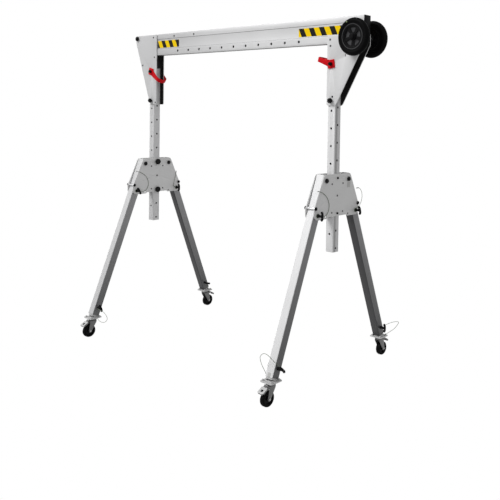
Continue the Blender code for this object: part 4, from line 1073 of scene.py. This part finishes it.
def make_pedal(where, sign):
    """Pressed brake pedal: a neck on the hinge and a broad pad with turned-down edges."""
    hinge = pivot(f"brake_pedal_{where}_press")
    body = "brake_pedal_" + where
    tilt = Matrix.Rotation(-sign * math.radians(30.0), 4, "X")
    width, neck, pad, thick, lip = 0.03, 0.014, 0.05, 0.003, 0.012
    middle_y = neck + pad / 2
    top = thick / 2 + 0.0004

    def flat(wide, long, start, level, height=thick, radius=0.003):
        place = tilt @ at(0, sign * (start + long / 2), level - height / 2)
        edge = min(0.0006, height / 4)
        return sheet_solid([rounded(square(wide, long), radius, 5)], height, place, edge)

    shapes = [flat(width, neck + 0.01, 0, top - 0.0002), rod(0.005, -width / 2, width / 2, "X", 20, 0.0005),
              flat(pad - 0.01, thick, neck + pad - thick, top - 0.001, lip - 0.001, 0.001)]
    for s in (-1, 1):
        side = tilt @ at(s * (pad - thick) / 2, sign * middle_y, top - lip / 2)
        lip_side = [rounded(square(thick, pad - 0.01), 0.001, 3)]
        shapes.append(sheet_solid(lip_side, lip - 0.001, side, 0.0006))
    piece("pedal_neck_" + where, joined(shapes), ZINC_DARK, body, place=at(*hinge))
    piece("pedal_" + where, flat(pad, pad, neck, top, radius=0.008), ZINC, body, [body], at(*hinge))
    mark = flat(0.018, 0.016, neck + 0.02, top + 0.0007, 0.001, 0.003)
    piece("pedal_pad_" + where, mark, BLACK, body, place=at(*hinge))


# ---- blank labels
def make_labels():
    hub_size, foot_size, thick = 0.035, 0.025, 0.0004
    label = sheet_solid([rounded(square(hub_size), 0.002, 3)], thick,
                        at(MAST_X["right"] + HUB_OUT + GAP, 0.122, 1.330) @ ALONG_X, 0.0001)
    piece("hub_label", label, LABEL, "hub_right")
    leg = pivot("leg_right_front_fold")
    place = at(*leg) @ Matrix.Rotation(-SPLAY, 4, "X")
    tag = sheet_solid([rounded(square(foot_size), 0.002, 3)], thick,
                      place @ at(0, -LEG_WIDTH / 2 - GAP, -LEG_FOOT + 0.0135) @ ALONG_Y, 0.0001)
    piece("foot_label", tag, LABEL, "leg_right_front")


# ---- build
make_beam()
for front in (-1, 1):
    end_name = "front" if front < 0 else "rear"
    tape_strip("tape_left_" + end_name, MAST_X["left"] + 0.0786, MAST_X["left"] + 0.3586, front, -0.046)
    tape_strip("tape_right_" + end_name, MAST_X["right"] - 0.3084, BEAM_HIGH.x - 0.004, front, 0.0)
make_wheel_axle()
make_corner_bumper()
for side_name in SIDES:
    make_mast(side_name)
    make_plate_pin(side_name)
    make_lever(side_name)
    make_guide(side_name)
    for face_sign in (-1, 1):
        make_hub_plate(side_name, face_sign)
    for level_name in ("upper", "lower"):
        make_mast_pin(side_name, level_name)
    for end_name in ENDS:
        make_end_plate(side_name, end_name)
        make_leg(side_name, end_name)
        make_leg_bolt(side_name, end_name)
        make_stop_bolt(side_name, end_name)
        make_foot(side_name, end_name)
        where_name = f"{side_name}_{end_name}"
        make_t_pin("leg_pin_" + where_name, MAST_X[side_name] + HUB_OUT + GAP)
        make_t_pin("foot_pin_" + where_name, MAST_X[side_name] + LEG_WIDTH / 2 + GAP)
        make_hub_lanyard(side_name, end_name)
        make_foot_lanyard(side_name, end_name)
        make_castor(side_name, end_name)
for wheel_end in ENDS:
    make_transport_wheel(wheel_end)
make_labels()


# ---- floor, world and lights
def ray_mix(tree, seen, lit):
    """Mixes two shaders by whether a camera, glossy or transmission ray meets the surface."""
    nodes, links = tree.nodes, tree.links
    path = nodes.new("ShaderNodeLightPath")
    either = path.outputs["Is Camera Ray"]
    for kind in ("Glossy", "Transmission"):
        larger = add_node(nodes, "Math", "MAXIMUM")
        links.new(either, larger.inputs[0])
        links.new(path.outputs[f"Is {kind} Ray"], larger.inputs[1])
        either = larger.outputs["Value"]
    mix = nodes.new("ShaderNodeMixShader")
    links.new(either, mix.inputs["Fac"])
    links.new(lit, mix.inputs[1])
    links.new(seen, mix.inputs[2])
    return mix.outputs["Shader"]


def make_floor():
    bm = bmesh.new()
    bmesh.ops.create_grid(bm, x_segments=8, y_segments=8, size=60.0)
    bmesh.ops.translate(bm, vec=(0, 0, -0.0005), verts=bm.verts)
    mesh = mesh_of(bm, "floor")
    floor = linked("floor", mesh)
    mat = bpy.data.materials.new("floor_white")
    mat.use_nodes = True
    nodes, links = mat.node_tree.nodes, mat.node_tree.links
    nodes.remove(nodes["Principled BSDF"])
    lit = add_node(nodes, "BsdfDiffuse", Color=(0.45, 0.45, 0.45, 1))
    glow = nodes.new("ShaderNodeEmission")
    out = ray_mix(mat.node_tree, glow.outputs["Emission"], lit.outputs["BSDF"])
    links.new(out, nodes["Material Output"].inputs["Surface"])
    mesh.materials.append(mat)


def make_world():
    world = bpy.data.worlds.new("studio")
    world.use_nodes = True
    bpy.context.scene.world = world
    nodes, links = world.node_tree.nodes, world.node_tree.links
    soft = nodes["Background"]
    soft.inputs["Color"].default_value = (1, 1, 1, 1)
    soft.inputs["Strength"].default_value = 0.45
    white = add_node(nodes, "Background", Color=(1, 1, 1, 1), Strength=1.0)
    out = ray_mix(world.node_tree, white.outputs["Background"], soft.outputs["Background"])
    links.new(out, nodes["World Output"].inputs["Surface"])


def make_sun(name, towards, strength, spread):
    """A soft distant lamp; towards points from the crane to the lamp."""
    data = bpy.data.lights.new(name, "SUN")
    data.energy = strength
    data.angle = math.radians(spread)
    lamp = linked(name, data)
    lamp.rotation_mode = "QUATERNION"
    lamp.rotation_quaternion = Vector(towards).to_track_quat("Z", "Y")


make_floor()
make_world()
make_sun("key", (-0.45, -0.6, 0.66), 2.2, 25)
make_sun("fill", (0.8, -0.2, 0.45), 0.35, 40)
bpy.context.scene.view_settings.view_transform = "Standard"
